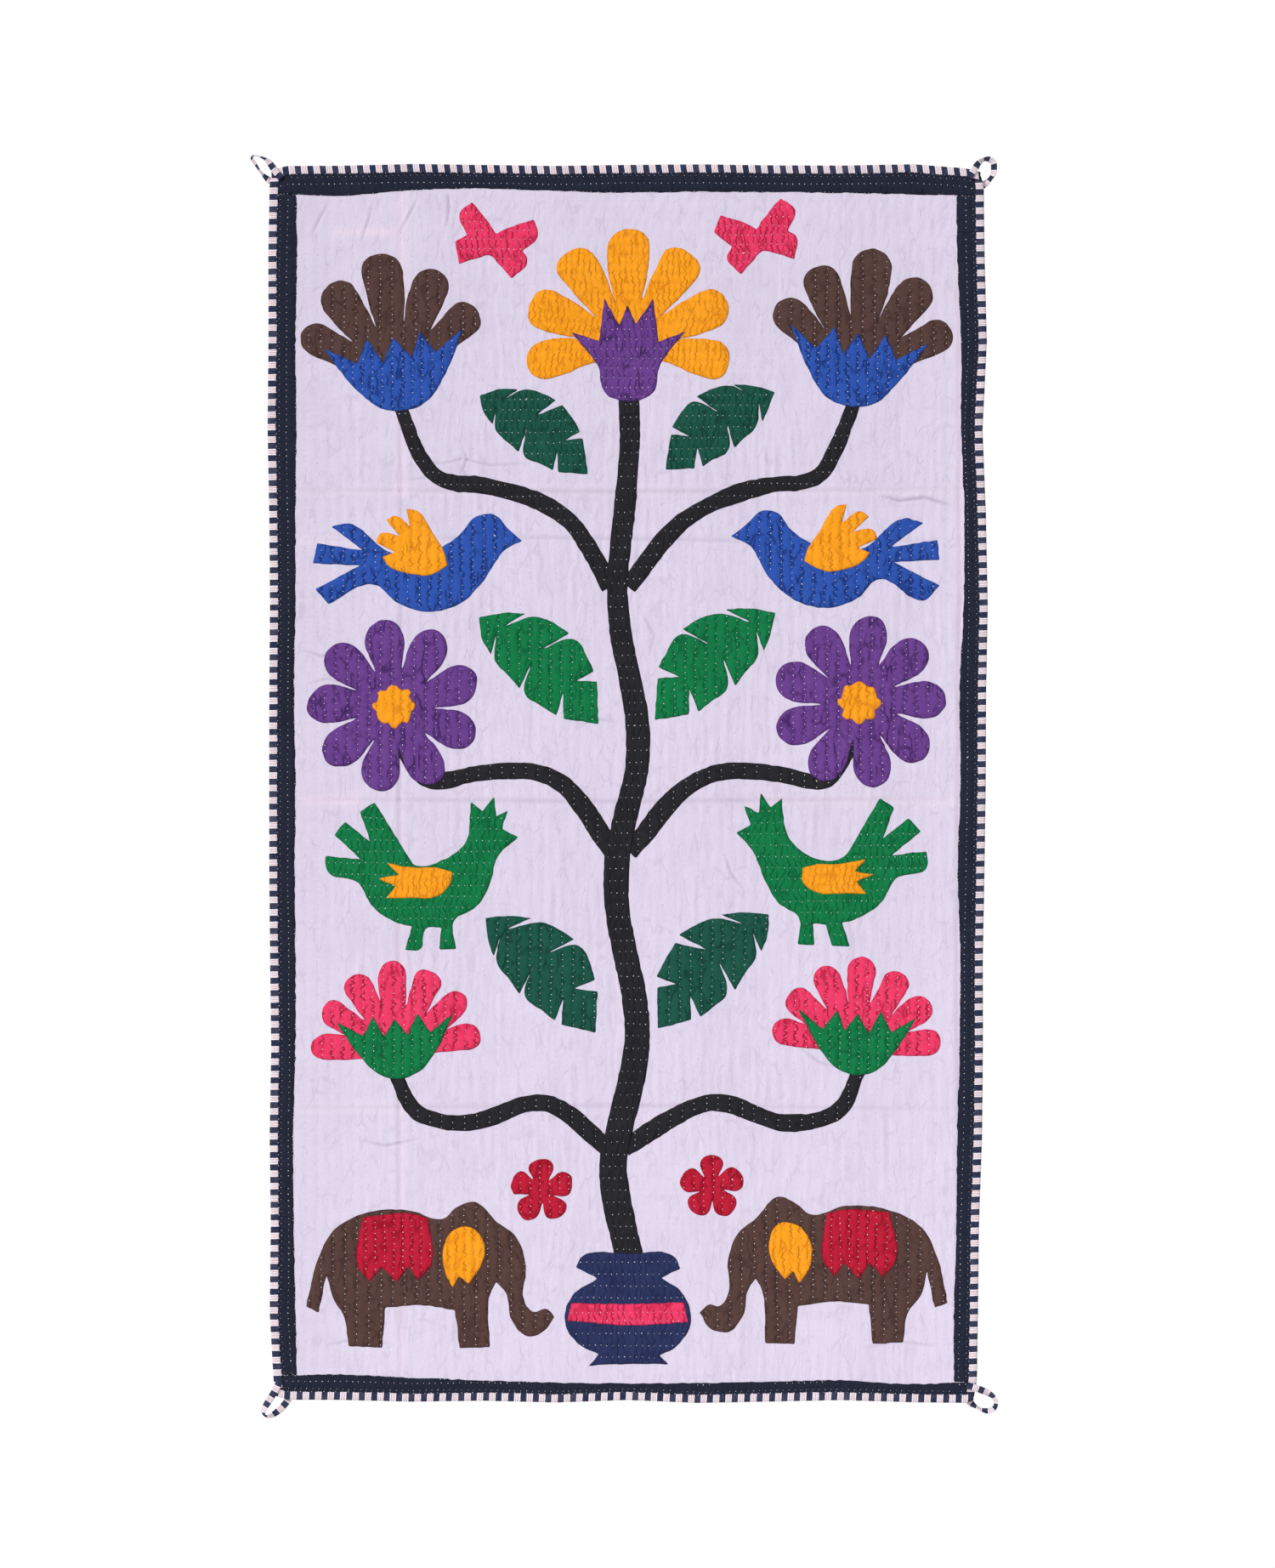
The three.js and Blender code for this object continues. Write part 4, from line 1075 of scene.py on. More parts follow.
# Lasting wrinkles of the lilac cloth, in millimetres from the middle of its top edge.
GROUND_CREASES = (
    Crease(((314, -411), (340, -418), (372, -414), (405, -424)), 2.4, 0.9),
    Crease(((-392, -86), (-380, -62), (-372, -48)), depth=0.6),
    Crease(((-330, -92), (-321, -66), (-316, -46)), depth=0.6),
    Crease(((-283, -84), (-270, -60), (-262, -44)), depth=0.55),
    Crease(((-224, -74), (-221, -52), (-223, -36)), 2.2, 0.8),
    Crease(((-205, -352), (-199, -366), (-204, -380), (-196, -396)), 2.2, 0.7),
    Crease(((-258, -368), (-230, -372), (-204, -366), (-170, -374), (-128, -372))),
    Crease(((-270, -392), (-240, -388), (-212, -394)), depth=0.45),
    Crease(((122, -858), (131, -884), (146, -902)), depth=0.6),
    Crease(((95, -968), (104, -990), (100, -1012), (108, -1034)), 2.2, 0.7),
    Crease(((128, -978), (141, -1000), (152, -1016)), depth=0.6),
    Crease(((180, -1068), (214, -1080), (262, -1078), (296, -1086)), 2.4, 0.7),
    Crease(((214, -1098), (240, -1118), (262, -1124))),
    Crease(((-404, -604), (-380, -612), (-352, -607)), 2.2, 0.6),
    Crease(((-398, -646), (-372, -640), (-350, -648))),
    Crease(((-60, -702), (-40, -690), (-14, -694))),
    Crease(((20, -560), (34, -584), (30, -610))),
    Crease(((-330, -1216), (-300, -1222), (-262, -1214)), 2.2, 0.6),
    Crease(((300, -1474), (340, -1466), (388, -1472))),
    Crease(((-372, -1470), (-330, -1462), (-290, -1470))),
)

# Long soft folds left by storage. They run through every layer.
STORAGE_CREASES = (
    Crease(((-285, -30), (-281, -500), (-286, -1000), (-283, -1512)), 3.4, 0.45),
    Crease(((413, -30), (415, -500), (411, -1000), (414, -1512)), 3.4, 0.4),
    Crease(((-425, -404), (0, -407), (425, -403)), 3.4, 0.4),
    Crease(((-425, -467), (-100, -464), (200, -469), (425, -466)), 3.0, 0.35),
    Crease(((-425, -790), (0, -793), (425, -789)), 3.4, 0.4),
    Crease(((-425, -1175), (0, -1172), (425, -1176)), 3.4, 0.35),
)


@dataclass(frozen=True)
class Band:
    """A faint pinker band of the lilac cloth, where it lay folded or was joined."""

    low: tuple[float, float]
    high: tuple[float, float]
    strength: float

    def at(self, places: Array) -> Array:
        """Returns how pink each place is, from 0 to 1."""
        inside = [eased(-3, 3, places[:, k] - self.low[k]) * eased(-3, 3, self.high[k] - places[:, k])
                  for k in (0, 1)]
        return self.strength * inside[0] * inside[1]


BANDS = (
    Band((-368, -88), (-290, -78), 0.8), Band((-289, -415), (-271, -30), 0.55),
    Band((-289, -1500), (-274, -800), 0.3), Band((408, -900), (420, -40), 0.45),
    Band((-410, -412), (410, -398), 0.3), Band((-410, -474), (-300, -462), 0.5),
    Band((-410, -798), (-330, -784), 0.6), Band((150, -800), (410, -786), 0.35),
    Band((-410, -1182), (-250, -1168), 0.4),
)


def faded(places: Array) -> Array:
    """Returns how pink the lilac cloth is at each place."""
    return np.clip(sum(band.at(places) for band in BANDS), 0, 1)


def creased(creases: tuple[Crease, ...], places: Array) -> Array:
    """Returns the height that a set of creases adds at each place."""
    return sum((crease.at(places) for crease in creases), np.zeros(len(places)))


@dataclass
class Quilt:
    """Lilac cloth, wadding and backing, sewn in upright rows, but level ones amid both ends."""

    solids: Solids
    middle: float = 2.05
    swell: float = 0.26
    groove: float = 3.2
    cell: tuple[float, float] = (2.45, ROW_SPACING / 3)
    back_cell: tuple[float, float] = (8.8, ROW_SPACING / 2)
    plain_cell: tuple[float, float] = (10.0, 10.0)
    wide_cell: tuple[float, float] = (24.0, 24.0)
    back_swell: float = 0.4
    ripple: float = 0.34
    cockling: float = 0.25
    sway: float = 0.9
    pressed: float = 0.9
    seed: int = 11

    # Level rows: how far from the middle, above which line and below which one.
    LEVEL_REACH, LEVEL_ABOVE, LEVEL_BELOW = 252.0, -348.0, -1232.0
    # Where the ripples change beside the left edge and below the top.
    LEFT, HEAD = (-335.0, -400.0), (-150.0, -60.0)
    # How far forward the hidden faces of the lilac cloth and of the backing lie.
    INNER, BACK_INNER = 0.95, 0.7
    # Where a row may start, how far it stays off the edge, and its stitches' lengths.
    START, MARGIN, STITCH, BACK_STITCH = 12.0, 14.0, 2.0, 2.4

    def __post_init__(self) -> None:
        """Finds the edge and draws the unevenness of the quilting."""
        self.edge = Outline.of_solid(self.solids["quilted_ground"])
        self.low, self.high = self.edge.points.min(0), self.edge.points.max(0)
        self.wander = Unevenness(self.seed, 60, 24)
        self.upright = Unevenness(self.seed + 1, 3.0, 26)
        self.broad = Unevenness(self.seed + 6, 6.4, 48)
        self.level = Unevenness(self.seed + 2, 30, 5.0)
        self.slant = Unevenness(self.seed + 3, 3.8, 26, -24)
        self.where = Unevenness(self.seed + 4, 90, 120)
        self.cockle = Unevenness(self.seed + 5, 17)

    def off_row(self, places: Array) -> Array:
        """Measures how far each place is from the nearest row of quilting.

        Args:
            places: x and z of each place.

        Returns:
            The distance in millimetres.
        """
        across = np.where(self.level_rows(places), places[:, 1], places[:, 0])
        share = (across + self.sway * self.wander.at(*places.T)) / ROW_SPACING
        return (share - np.rint(share)) * ROW_SPACING

    def level_rows(self, places: Array) -> Array:
        """Tells where the rows run level: at the middle of both ends, against upright elsewhere."""
        x, z = np.abs(places[:, 0]), places[:, 1]
        return (x < self.LEVEL_REACH) & ((z > self.LEVEL_ABOVE) | (z < self.LEVEL_BELOW))

    def ripples(self, places: Array) -> Array:
        """Works out the ripples drawn up by the quilting.

        Args:
            places: x and z of each place.

        Returns:
            The height to add in millimetres.
        """
        x, z = places[:, 0], places[:, 1]
        left, top = eased(*self.LEFT, x), eased(*self.HEAD, z)
        strength = 0.75 + 0.55 * self.where.at(x, z)
        bent = x + 1.6 * self.cockle.at(x * 0.6, z)
        upright = self.upright.at(bent, z) + 0.8 * self.broad.at(bent, z)
        upright *= (1 - 0.7 * left) * (1 - 0.6 * top)
        level = self.level.at(x, z) * (0.3 + 0.8 * left)
        slant = self.slant.at(x, z) * top
        return self.ripple * strength * (upright + level + slant) + self.cockling * self.cockle.at(x, z)

    def lasting(self, places: Array) -> Array:
        """Returns the height that lasting creases add at each place."""
        return creased(GROUND_CREASES, places) + creased(STORAGE_CREASES, places)

    def top(self, places: Array) -> tuple[Array, Array]:
        """Works out the lilac cloth's face.

        Args:
            places: x and z of each place.

        Returns:
            How far forward it lies, and how much painted shade darkens its wrinkles, from 0 to 1.
        """
        swell = self.swell * (1 - np.exp(-((self.off_row(places) / self.groove) ** 2)))
        ripples, lasting = self.ripples(places), self.lasting(places)
        # Painted shade in the troughs of the ripples and in the lasting creases.
        hollow = 0.1 * np.clip(-ripples / 0.6, 0, 1) + 0.45 * np.clip(-lasting / 0.8, 0, 1)
        return self.middle + swell + ripples + lasting, np.clip(hollow, 0, 1)

    def back(self, places: Array) -> Array:
        """Returns how far forward the backing's face lies at each place."""
        swell = self.back_swell * (1 - np.exp(-((self.off_row(places) / self.groove) ** 2)))
        return -0.1 - swell - 0.6 * self.ripples(places) + creased(STORAGE_CREASES, places)

    def filled(self, cell: tuple[float, float], margin: float) -> Array:
        """Spreads places over the quilt, away from its edge."""
        places = spread(self.low, self.high, *cell)
        return places[self.edge.contains(places) & (self.edge.distance(places) > margin)]

    def top_cloth(self, drape: Drape, lay: LayMap) -> Object:
        """Makes the lilac cloth, fine where it shows and pressed flat below the patches.

        Args:
            drape: Folds of the quilt.
            lay: Map of the cloths that lie on it.

        Returns:
            The cloth.
        """
        rim = self.edge.resampled(3.0).points
        covered = blurred((lay.owner > 0).astype(float), 3.0)
        fine, plain = self.filled(self.cell, 2.0), self.filled(self.plain_cell, 4.0)
        creases = GROUND_CREASES + STORAGE_CREASES
        folds = np.vstack([crease.stations(3.0) for crease in creases])
        folds = folds[self.edge.contains(folds) & (self.edge.distance(folds) > 2.0)]
        clear = np.ones(len(fine), bool)
        for crease in creases:
            clear &= np.abs(crease.at(fine)) < 0.02
        clear |= lay.sample(fine, covered) > 0.5
        shown = [spots[lay.sample(spots, covered) < 0.98] for spots in (fine[clear], folds)]
        hidden = plain[lay.sample(plain, covered) >= 0.98]
        spots, faces, ring, _ = triangulated(rim, np.vstack([*shown, hidden]))
        height, hollow = self.top(spots)
        height -= self.pressed * eased(0.9, 1.0, lay.sample(spots, covered))
        made = ClothMesh()
        made.add(spots, height, spots, faded(spots), hollow)
        made.faces += faces
        made.close_behind(ring, self.filled(self.wide_cell, 8.0),
                          lambda places: np.full(len(places), self.INNER))
        return made.object("quilt_top", drape, LILAC.material())

    def backing(self, drape: Drape) -> Object:
        """Makes the backing, whose face looks back.

        Args:
            drape: Folds of the quilt.

        Returns:
            The cloth.
        """
        rim = self.edge.resampled(4.0).points
        spots, faces, ring, _ = triangulated(rim, self.filled(self.wide_cell, 8.0))
        made = ClothMesh()
        made.add(spots, np.full(len(spots), self.BACK_INNER), spots)
        made.faces += faces
        made.close_behind(ring, self.filled(self.back_cell, 3.0), self.back)
        return made.object("quilt_backing", drape, LILAC.material())

    def stitches(self, lay: LayMap, work: Needlework) -> None:
        """Sews the rows wherever the lilac cloth shows, and all of them on the back.

        Args:
            lay: Map of the cloths, which says where the lilac one is on top.
            work: Collects the stitches.
        """
        rng = np.random.default_rng(self.seed)
        high, half = int(HEIGHT / ROW_SPACING), int(WIDTH / 2 / ROW_SPACING)
        for way, rows, span in ((Way.LEVEL, range(-high, 0), (-WIDTH / 2, WIDTH / 2)),
                                (Way.UPRIGHT, range(1 - half, half), (-HEIGHT, 0.0))):
            along_row = 0 if way is Way.LEVEL else 1
            for row in rows:
                run = np.arange(span[0] + self.START, span[1] - self.START, STITCH_PITCH)
                run += rng.uniform(-3, 3)
                places = np.empty((len(run), 2))
                places[:, along_row] = run + rng.normal(0, 0.5, len(run))
                places[:, 1 - along_row] = row * ROW_SPACING + rng.normal(0, 0.3, len(run))
                places[:, 1 - along_row] -= self.sway * self.wander.at(*places.T)
                places = places[self.level_rows(places) == (way is Way.LEVEL)]
                off_middle = np.abs(places - (0, -HEIGHT / 2))
                inside = np.all(off_middle < (WIDTH / 2 - self.MARGIN, HEIGHT / 2 - self.MARGIN), axis=1)
                self.sew(places[inside & (lay.owner_at(places) == 0)], lay.sample, way, self.STITCH, rng,
                         work.line("ground_stitches"))
                self.sew(places[inside], self.back, way, self.BACK_STITCH, rng,
                         work.line("backing_stitches"))

    @staticmethod
    def sew(places: Array, height: Callable[[Array], Array], way: Way, length: float,
            rng: np.random.Generator, line: StitchLine) -> None:
        """Adds one row's stitches to a line.

        Args:
            places: x and z of each stitch.
            height: Works out how far forward the cloth lies at each place.
            way: Which way the row runs.
            length: Length of a stitch in millimetres.
            rng: Source of the small unevenness.
            line: Line that the stitches join.
        """
        count = len(places)
        turns = math.radians(way.value) + rng.normal(0, 0.1, count)
        line.add(places, height(places) - 0.03, turns, rng.normal(length, 0.25, count))


@dataclass
class Applied:
    """A cotton cloth laid on the quilt, its raw edge turned under, and sewn through in rows."""

    solids: Solids
    node: str
    finish: Cotton
    way: Way = Way.LEVEL
    spacing: float = ROW_SPACING
    pitch: float = STITCH_PITCH
    number: int = 1
    thread: str = "patch_stitches"
    edge_step: float = 2.3
    hem: float = 5.0
    bumpy: float = 0.6
    lines: int = 5
    stitch: float = 1.27

    # The folded edge's least thickness, the least rise over a cloth below, and the rows' wandering.
    EDGE, RISE, SWAY = 0.24, 0.45, 0.9
    # Heights in millimetres: a puff between rows, the hem, ripples, slanting ripples and the
    # fullness between puckers, and what a pucker, a crease and a stitch take away.
    PUFF, HEM, RIPPLE, SLANT, FULL = 0.75, 0.2, 0.3, 0.35, 0.2
    PUCKER, CREASE, STITCHED = 0.5, 0.5, 0.3
    # Where points lie between two upright rows, and between two stitches of a level one.
    ROW_SHARES, PUCKER_SHARES = np.array([0, 0.11, 0.36, 0.64, 0.89]), np.array([0, 0.17, 0.5, 0.83])

    def __post_init__(self) -> None:
        """Finds the outline and draws the cloth's own unevenness."""
        self.cut = Outline.of_solid(self.solids[self.node]).softened(5.0)
        self.middle = (self.cut.points.min(0) + self.cut.points.max(0)) / 2
        rng = np.random.default_rng(100 + self.number)
        self.phase = np.cumsum(rng.uniform(-0.42, 0.42, 256)) * self.pitch
        self.shift = rng.uniform(-0.2, 0.2) * self.spacing
        slope = 1 if self.number % 2 else -1
        seed = 1000 + 10 * self.number
        self.wander = Unevenness(seed, 45, 20)
        self.ripple = Unevenness(seed + 1, 4.2, 18)
        self.slanting = Unevenness(seed + 2, 7.5, 16, 40 * slope)
        self.fold = Unevenness(seed + 3, 17, 34, 24 * slope)
        self.folded = Unevenness(seed + 5, 19)
        self.pull = Unevenness(seed + 6, 14, 22)
        self.bumps = Unevenness(seed + 4, 7)

    def grain(self, places: Array) -> tuple[Array, Array]:
        """Turns places to the cloth's own directions.

        Args:
            places: x and z of each place.

        Returns:
            How far along the rows and across them each place is.
        """
        x, z = (places - self.middle).T
        if self.way is Way.UPRIGHT:
            return z, -x + self.shift
        return x, z + self.shift

    def ungrained(self, u: Array, v: Array) -> Array:
        """Turns places back from the cloth's own directions.

        Args:
            u: Places along the rows.
            v: Places across the rows.

        Returns:
            x and z of each place.
        """
        if self.way is Way.UPRIGHT:
            return np.column_stack([-(v - self.shift), u]) + self.middle
        return np.column_stack([u, v - self.shift]) + self.middle

    def phase_at(self, v: Array) -> Array:
        """Finds how far along the puckers lie, which bend from one row's stitches to the next row's.

        Args:
            v: Places across the rows.

        Returns:
            The shift along the rows at each place.
        """
        share = v / self.spacing
        row = np.floor(share).astype(int)
        blend = eased(0.2, 0.8, share - row)
        half = len(self.phase) // 2
        return self.phase[row + half] * (1 - blend) + self.phase[row + 1 + half] * blend

    def relief(self, places: Array, inset: Array) -> tuple[Array, Array]:
        """Works out the cloth's own thickness, hem, puffs, puckers and creases.

        Args:
            places: x and z of each place.
            inset: Distance of each place from the turned edge.

        Returns:
            Height above what the cloth lies on, and the painted shade in its wrinkles, from 0 to 1.
        """
        u, v = self.grain(places)
        bent = v - self.SWAY * self.wander.at(u, v)
        off = (bent / self.spacing - np.rint(bent / self.spacing)) * self.spacing
        lap = (u - self.phase_at(bent)) / self.pitch
        aside = (lap - np.rint(lap)) * self.pitch
        puff = self.PUFF * (1 - np.exp(-((off / 3.6) ** 2)))
        drawn = eased(-0.45, 0.55, self.pull.at(u, v))
        pucker = drawn * np.exp(-(((off if self.way is Way.UPRIGHT else aside) / 1.5) ** 2))
        crossing = self.fold.at(u, v) / 0.16
        crease = np.exp(-(crossing**2)) * eased(0.0, 0.5, self.folded.at(u, v))
        stitched = np.exp(-((aside / 1.8) ** 2) - (off / 1.8) ** 2)
        loose = self.RIPPLE * self.ripple.at(u, v) + self.SLANT * self.slanting.at(u, v)
        inner = eased(0.9, 4.0, inset)
        hem = eased(0.3, 1.2, inset) * (1 - eased(self.hem - 0.8, self.hem + 0.8, inset))
        edge = self.EDGE + 0.3 * eased(0.0, 0.8, inset) + self.HEM * hem
        taken = self.PUCKER * pucker + self.CREASE * crease + self.STITCHED * stitched
        height = edge + inner * (0.4 + puff + loose - taken + self.FULL * drawn)
        # Painted shade in the puckers and creases.
        hollow = 0.12 * pucker + 0.14 * crease
        return np.maximum(height, self.EDGE), inner * np.clip(hollow, 0, 1)

    def puckers(self, places: Array) -> Array:
        """Tells which pucker each place is at, whole on its line, and how far along it in metres.

        The puckers always run up the hanging: along upright rows, and from row to row of level ones.

        Args:
            places: x and z of each place.

        Returns:
            Both numbers for each place.
        """
        u, v = self.grain(places)
        bent = v - self.SWAY * self.wander.at(u, v)
        if self.way is Way.UPRIGHT:
            return np.column_stack([bent / self.spacing, self.number + u * MM])
        return np.column_stack([(u - self.phase_at(bent)) / self.pitch, self.number + bent * MM])

    def fill(self) -> Array:
        """Spreads places over the cloth, in lines that follow the puckers.

        Returns:
            Places inside the cloth, away from its edge.
        """
        u, v = self.grain(self.cut.points)
        if self.way is Way.UPRIGHT:
            rows = np.arange(math.floor(v.min() / self.spacing), math.ceil(v.max() / self.spacing))
            across = (rows[:, None] + self.ROW_SHARES).ravel() * self.spacing
            grid_u, grid_v = np.meshgrid(np.arange(u.min(), u.max(), 0.4 * self.pitch), across)
            grid_v = grid_v + self.SWAY * self.wander.at(grid_u, grid_v)
        else:
            step = self.spacing / self.lines
            across = np.arange(math.floor(v.min() / step) - 1, math.ceil(v.max() / step) + 1) * step
            first = math.floor((u.min() - self.phase.max()) / self.pitch)
            last = math.ceil((u.max() - self.phase.min()) / self.pitch)
            shares = (np.arange(first, last)[:, None] + self.PUCKER_SHARES).ravel()
            grid_u = shares[None] * self.pitch + self.phase_at(across)[:, None]
            grid_v = np.broadcast_to(across[:, None], grid_u.shape)
        kept = (grid_u > u.min()) & (grid_u < u.max())
        places = self.ungrained(grid_u[kept], grid_v[kept])
        places = places[self.cut.contains(places)]
        return places[self.cut.distance(places) > 2.5]

    def turned_edge(self) -> Outline:
        """Bends the outline as sewing by hand does.

        Returns:
            The outline, slightly bumpy and with softened corners.
        """
        fine = self.cut.resampled(self.edge_step)
        spots = fine.points
        spots = 0.6 * spots + 0.2 * (np.roll(spots, 1, 0) + np.roll(spots, -1, 0))
        wave = self.bumpy * self.bumps.at(spots[:, 0], spots[:, 1])
        return Outline(spots + wave[:, None] * fine.inward())

    def build(self, lay: LayMap, drape: Drape) -> Object:
        """Makes the cloth and lays it on the map.

        Args:
            lay: Map of the cloths laid so far.
            drape: Folds of the quilt.

        Returns:
            The cloth, closed behind.
        """
        edge = self.turned_edge()
        rings = []
        for depth in (0.75, 1.7):
            ring = edge.points + depth * edge.inward()
            rings.append(ring[self.cut.contains(ring) & (self.cut.distance(ring) > 0.72 * depth)])
        spots, faces, rim, _ = triangulated(edge.points, np.vstack([*rings, self.fill()]))
        inset = self.cut.distance(spots)
        inset[rim] = 0
        base = self.base(lay)
        under = lay.sample(spots)
        rest = under + eased(0, 1.6, inset) * (lay.sample(spots, base) - under)
        height, hollow = self.relief(spots, inset)
        height = np.maximum(rest + height, under + self.RISE * eased(0, 2, inset))
        made = ClothMesh()
        # Rim strength: painted shade along the turned edge, strongest at the edge itself.
        made.add(spots, height, np.column_stack(self.grain(spots)), 0.65 * (1 - eased(0.3, 1.8, inset)),
                 hollow, self.puckers(spots))
        made.faces += faces
        inner = spread(self.cut.points.min(0), self.cut.points.max(0), 9.0, 9.0)
        inner = inner[self.cut.contains(inner)]
        inner = inner[self.cut.distance(inner) > 3]
        made.close_behind(rim, inner, lambda places: lay.sample(places) - 0.05)
        self.lay_down(lay, base)
        return made.object(f"{self.node}_cloth", drape, self.finish.material())

    def base(self, lay: LayMap) -> Array:
        """Works out the soft surface that the cloth rests on.

        Args:
            lay: Map of the cloths laid so far.

        Returns:
            A whole grid that holds the softened heights round this cloth.
        """
        margin = 10 * lay.STEP
        rows, columns, _ = lay.cells(self.cut.points.min(0) - margin, self.cut.points.max(0) + margin)
        raised = lay.height.copy()
        window = raised[rows, columns]
        soft = blurred(window, 2.6)
        raised[rows, columns] = soft + np.maximum(0, window - soft - 0.25)
        return raised

    def lay_down(self, lay: LayMap, base: Array) -> None:
        """Writes the cloth's top and number into the map.

        Args:
            lay: Map to write to.
            base: Heights that the cloth rests on.
        """
        rows, columns, cells = lay.cells(self.cut.points.min(0), self.cut.points.max(0))
        inside = self.cut.contains(cells)
        inset = self.cut.distance(cells[inside])
        top = lay.sample(cells[inside], base) + self.relief(cells[inside], inset)[0]
        height, owner = lay.height[rows, columns].ravel(), lay.owner[rows, columns].ravel()
        height[inside] = np.maximum(top, height[inside] + self.RISE * eased(0, 2, inset))
        owner[inside] = self.number
        shape = lay.height[rows, columns].shape
        lay.height[rows, columns], lay.owner[rows, columns] = height.reshape(shape), owner.reshape(shape)

    def row_numbers(self) -> range:
        """Returns the numbers of the rows that may cross the cloth."""
        _, v = self.grain(self.cut.points)
        return range(math.floor(v.min() / self.spacing), math.ceil(v.max() / self.spacing) + 1)

    def row_places(self, row: int, rng: np.random.Generator) -> tuple[Array, Array]:
        """Finds the places of one row's stitches.

        Args:
            row: Number of the row.
            rng: Source of the small unevenness.

        Returns:
            The places and the direction of each stitch in radians.
        """
        u, _ = self.grain(self.cut.points)
        start = self.phase[row + len(self.phase) // 2]
        first = math.floor((u.min() - start) / self.pitch)
        u = start + self.pitch * np.arange(first, math.ceil((u.max() - start) / self.pitch) + 1)
        u = u + rng.normal(0, 0.35, len(u))
        v = np.full(len(u), row * self.spacing)
        v = v + self.SWAY * self.wander.at(u, v) + rng.normal(0, 0.25, len(u))
        turn = math.radians(self.way.value) + rng.normal(0, 0.2, len(u))
        return self.ungrained(u, v), turn

    def size_of(self, row: int) -> float:
        """Returns how thick a row's stitches look beside the usual ones."""
        return 1.0

    def stitches(self, lay: LayMap, work: Needlework) -> None:
        """Sews the rows wherever this cloth is on top, with a loose thread end here and there.

        Args:
            lay: Map of the cloths.
            work: Collects the stitches.
        """
        rng = np.random.default_rng(500 + self.number)
        for row in self.row_numbers():
            places, turn = self.row_places(row, rng)
            inside = self.cut.contains(places) & (lay.owner_at(places) == self.number)
            places, turn = places[inside], turn[inside]
            if len(places):
                keep = (self.cut.distance(places) > 2.0) & (rng.random(len(places)) > 0.015)
                places, turn = places[keep], turn[keep]
                size = self.size_of(row)
                lengths = rng.normal(self.stitch, 0.15, len(places)) * size
                ends = rng.random(len(places)) < 0.004
                lengths[ends], turn[ends] = 3.6, turn[ends] + 0.7
                work.line(self.thread).add(places, lay.sample(places) + 0.22, turn, lengths, size)


@dataclass
class NavyStrip(Applied):
    """A navy strip along one side, with a wavy row of stitches down its middle and one by the tape."""

    finish: Cotton = STRIP_NAVY
    rows_in: tuple[float, float] = (12.8, 22.0)
    edge_step: float = 3.2
    bumpy: float = 0.75
    lines: int = 3

    def __post_init__(self) -> None:
        """Keeps the quilt's edge, from which the rows are measured."""
        super().__post_init__()
        self.name = self.node.rsplit("_", 1)[1]
        side = Outline.of_solid(self.solids["quilted_ground"]).sides()[self.name]
        self.run, self.cross = (0, 1) if self.name in ("bottom", "top") else (1, 0)
        self.side = side[np.argsort(side[:, self.run])]

    def grain(self, places: Array) -> tuple[Array, Array]:
        """Measures along the strip and across it from the quilt's edge.

        Args:
            places: x and z of each place.

        Returns:
            How far along and across each place is, with the two rows a spacing apart.
        """
        along_edge = np.interp(places[:, self.run], self.side[:, self.run], self.side[:, self.cross])
        near, far = self.rows_in
        inward = np.abs(places[:, self.cross] - along_edge)
        return places[:, self.run], (inward - near) / (far - near) * self.spacing

    def ungrained(self, u: Array, v: Array) -> Array:
        """Turns places back from the strip's own directions.

        Args:
            u: Places along the strip.
            v: Places across it, with the two rows a spacing apart.

        Returns:
            x and z of each place.
        """
        near, far = self.rows_in
        sign = -1 if self.name in ("top", "right") else 1
        places = np.empty((len(u), 2))
        places[:, self.run] = u
        places[:, self.cross] = np.interp(u, self.side[:, self.run], self.side[:, self.cross]) + sign * (
            near + v / self.spacing * (far - near))
        return places

    def row_numbers(self) -> range:
        """Returns the numbers of the two rows."""
        return range(2)

    def size_of(self, row: int) -> float:
        """Returns the thickness of a row's stitches: the row by the tape is drawn in tighter."""
        return 1.0 if row else 0.72

    def stitches(self, lay: LayMap, work: Needlework) -> None:
        """Sews the two rows and the tiny stitches that hold the strip's inner edge.

        Args:
            lay: Map of the cloths.
            work: Collects the stitches.
        """
        super().stitches(lay, work)
        rng = np.random.default_rng(700 + self.number)
        fine = self.cut.resampled(8.0)
        places = fine.points + rng.normal(0, 0.4, fine.points.shape)
        heading = fine.inward()
        inner = (self.grain(places)[1] > 1.15 * self.spacing) & (rng.random(len(places)) > 0.35)
        places, heading = places[inner], heading[inner]
        turn = np.arctan2(heading[:, 1], heading[:, 0]) + rng.normal(0, 0.35, len(places))
        work.line(self.thread).add(
            places, lay.sample(places) + 0.3, turn, rng.normal(1.3, 0.2, len(places)), 0.7)


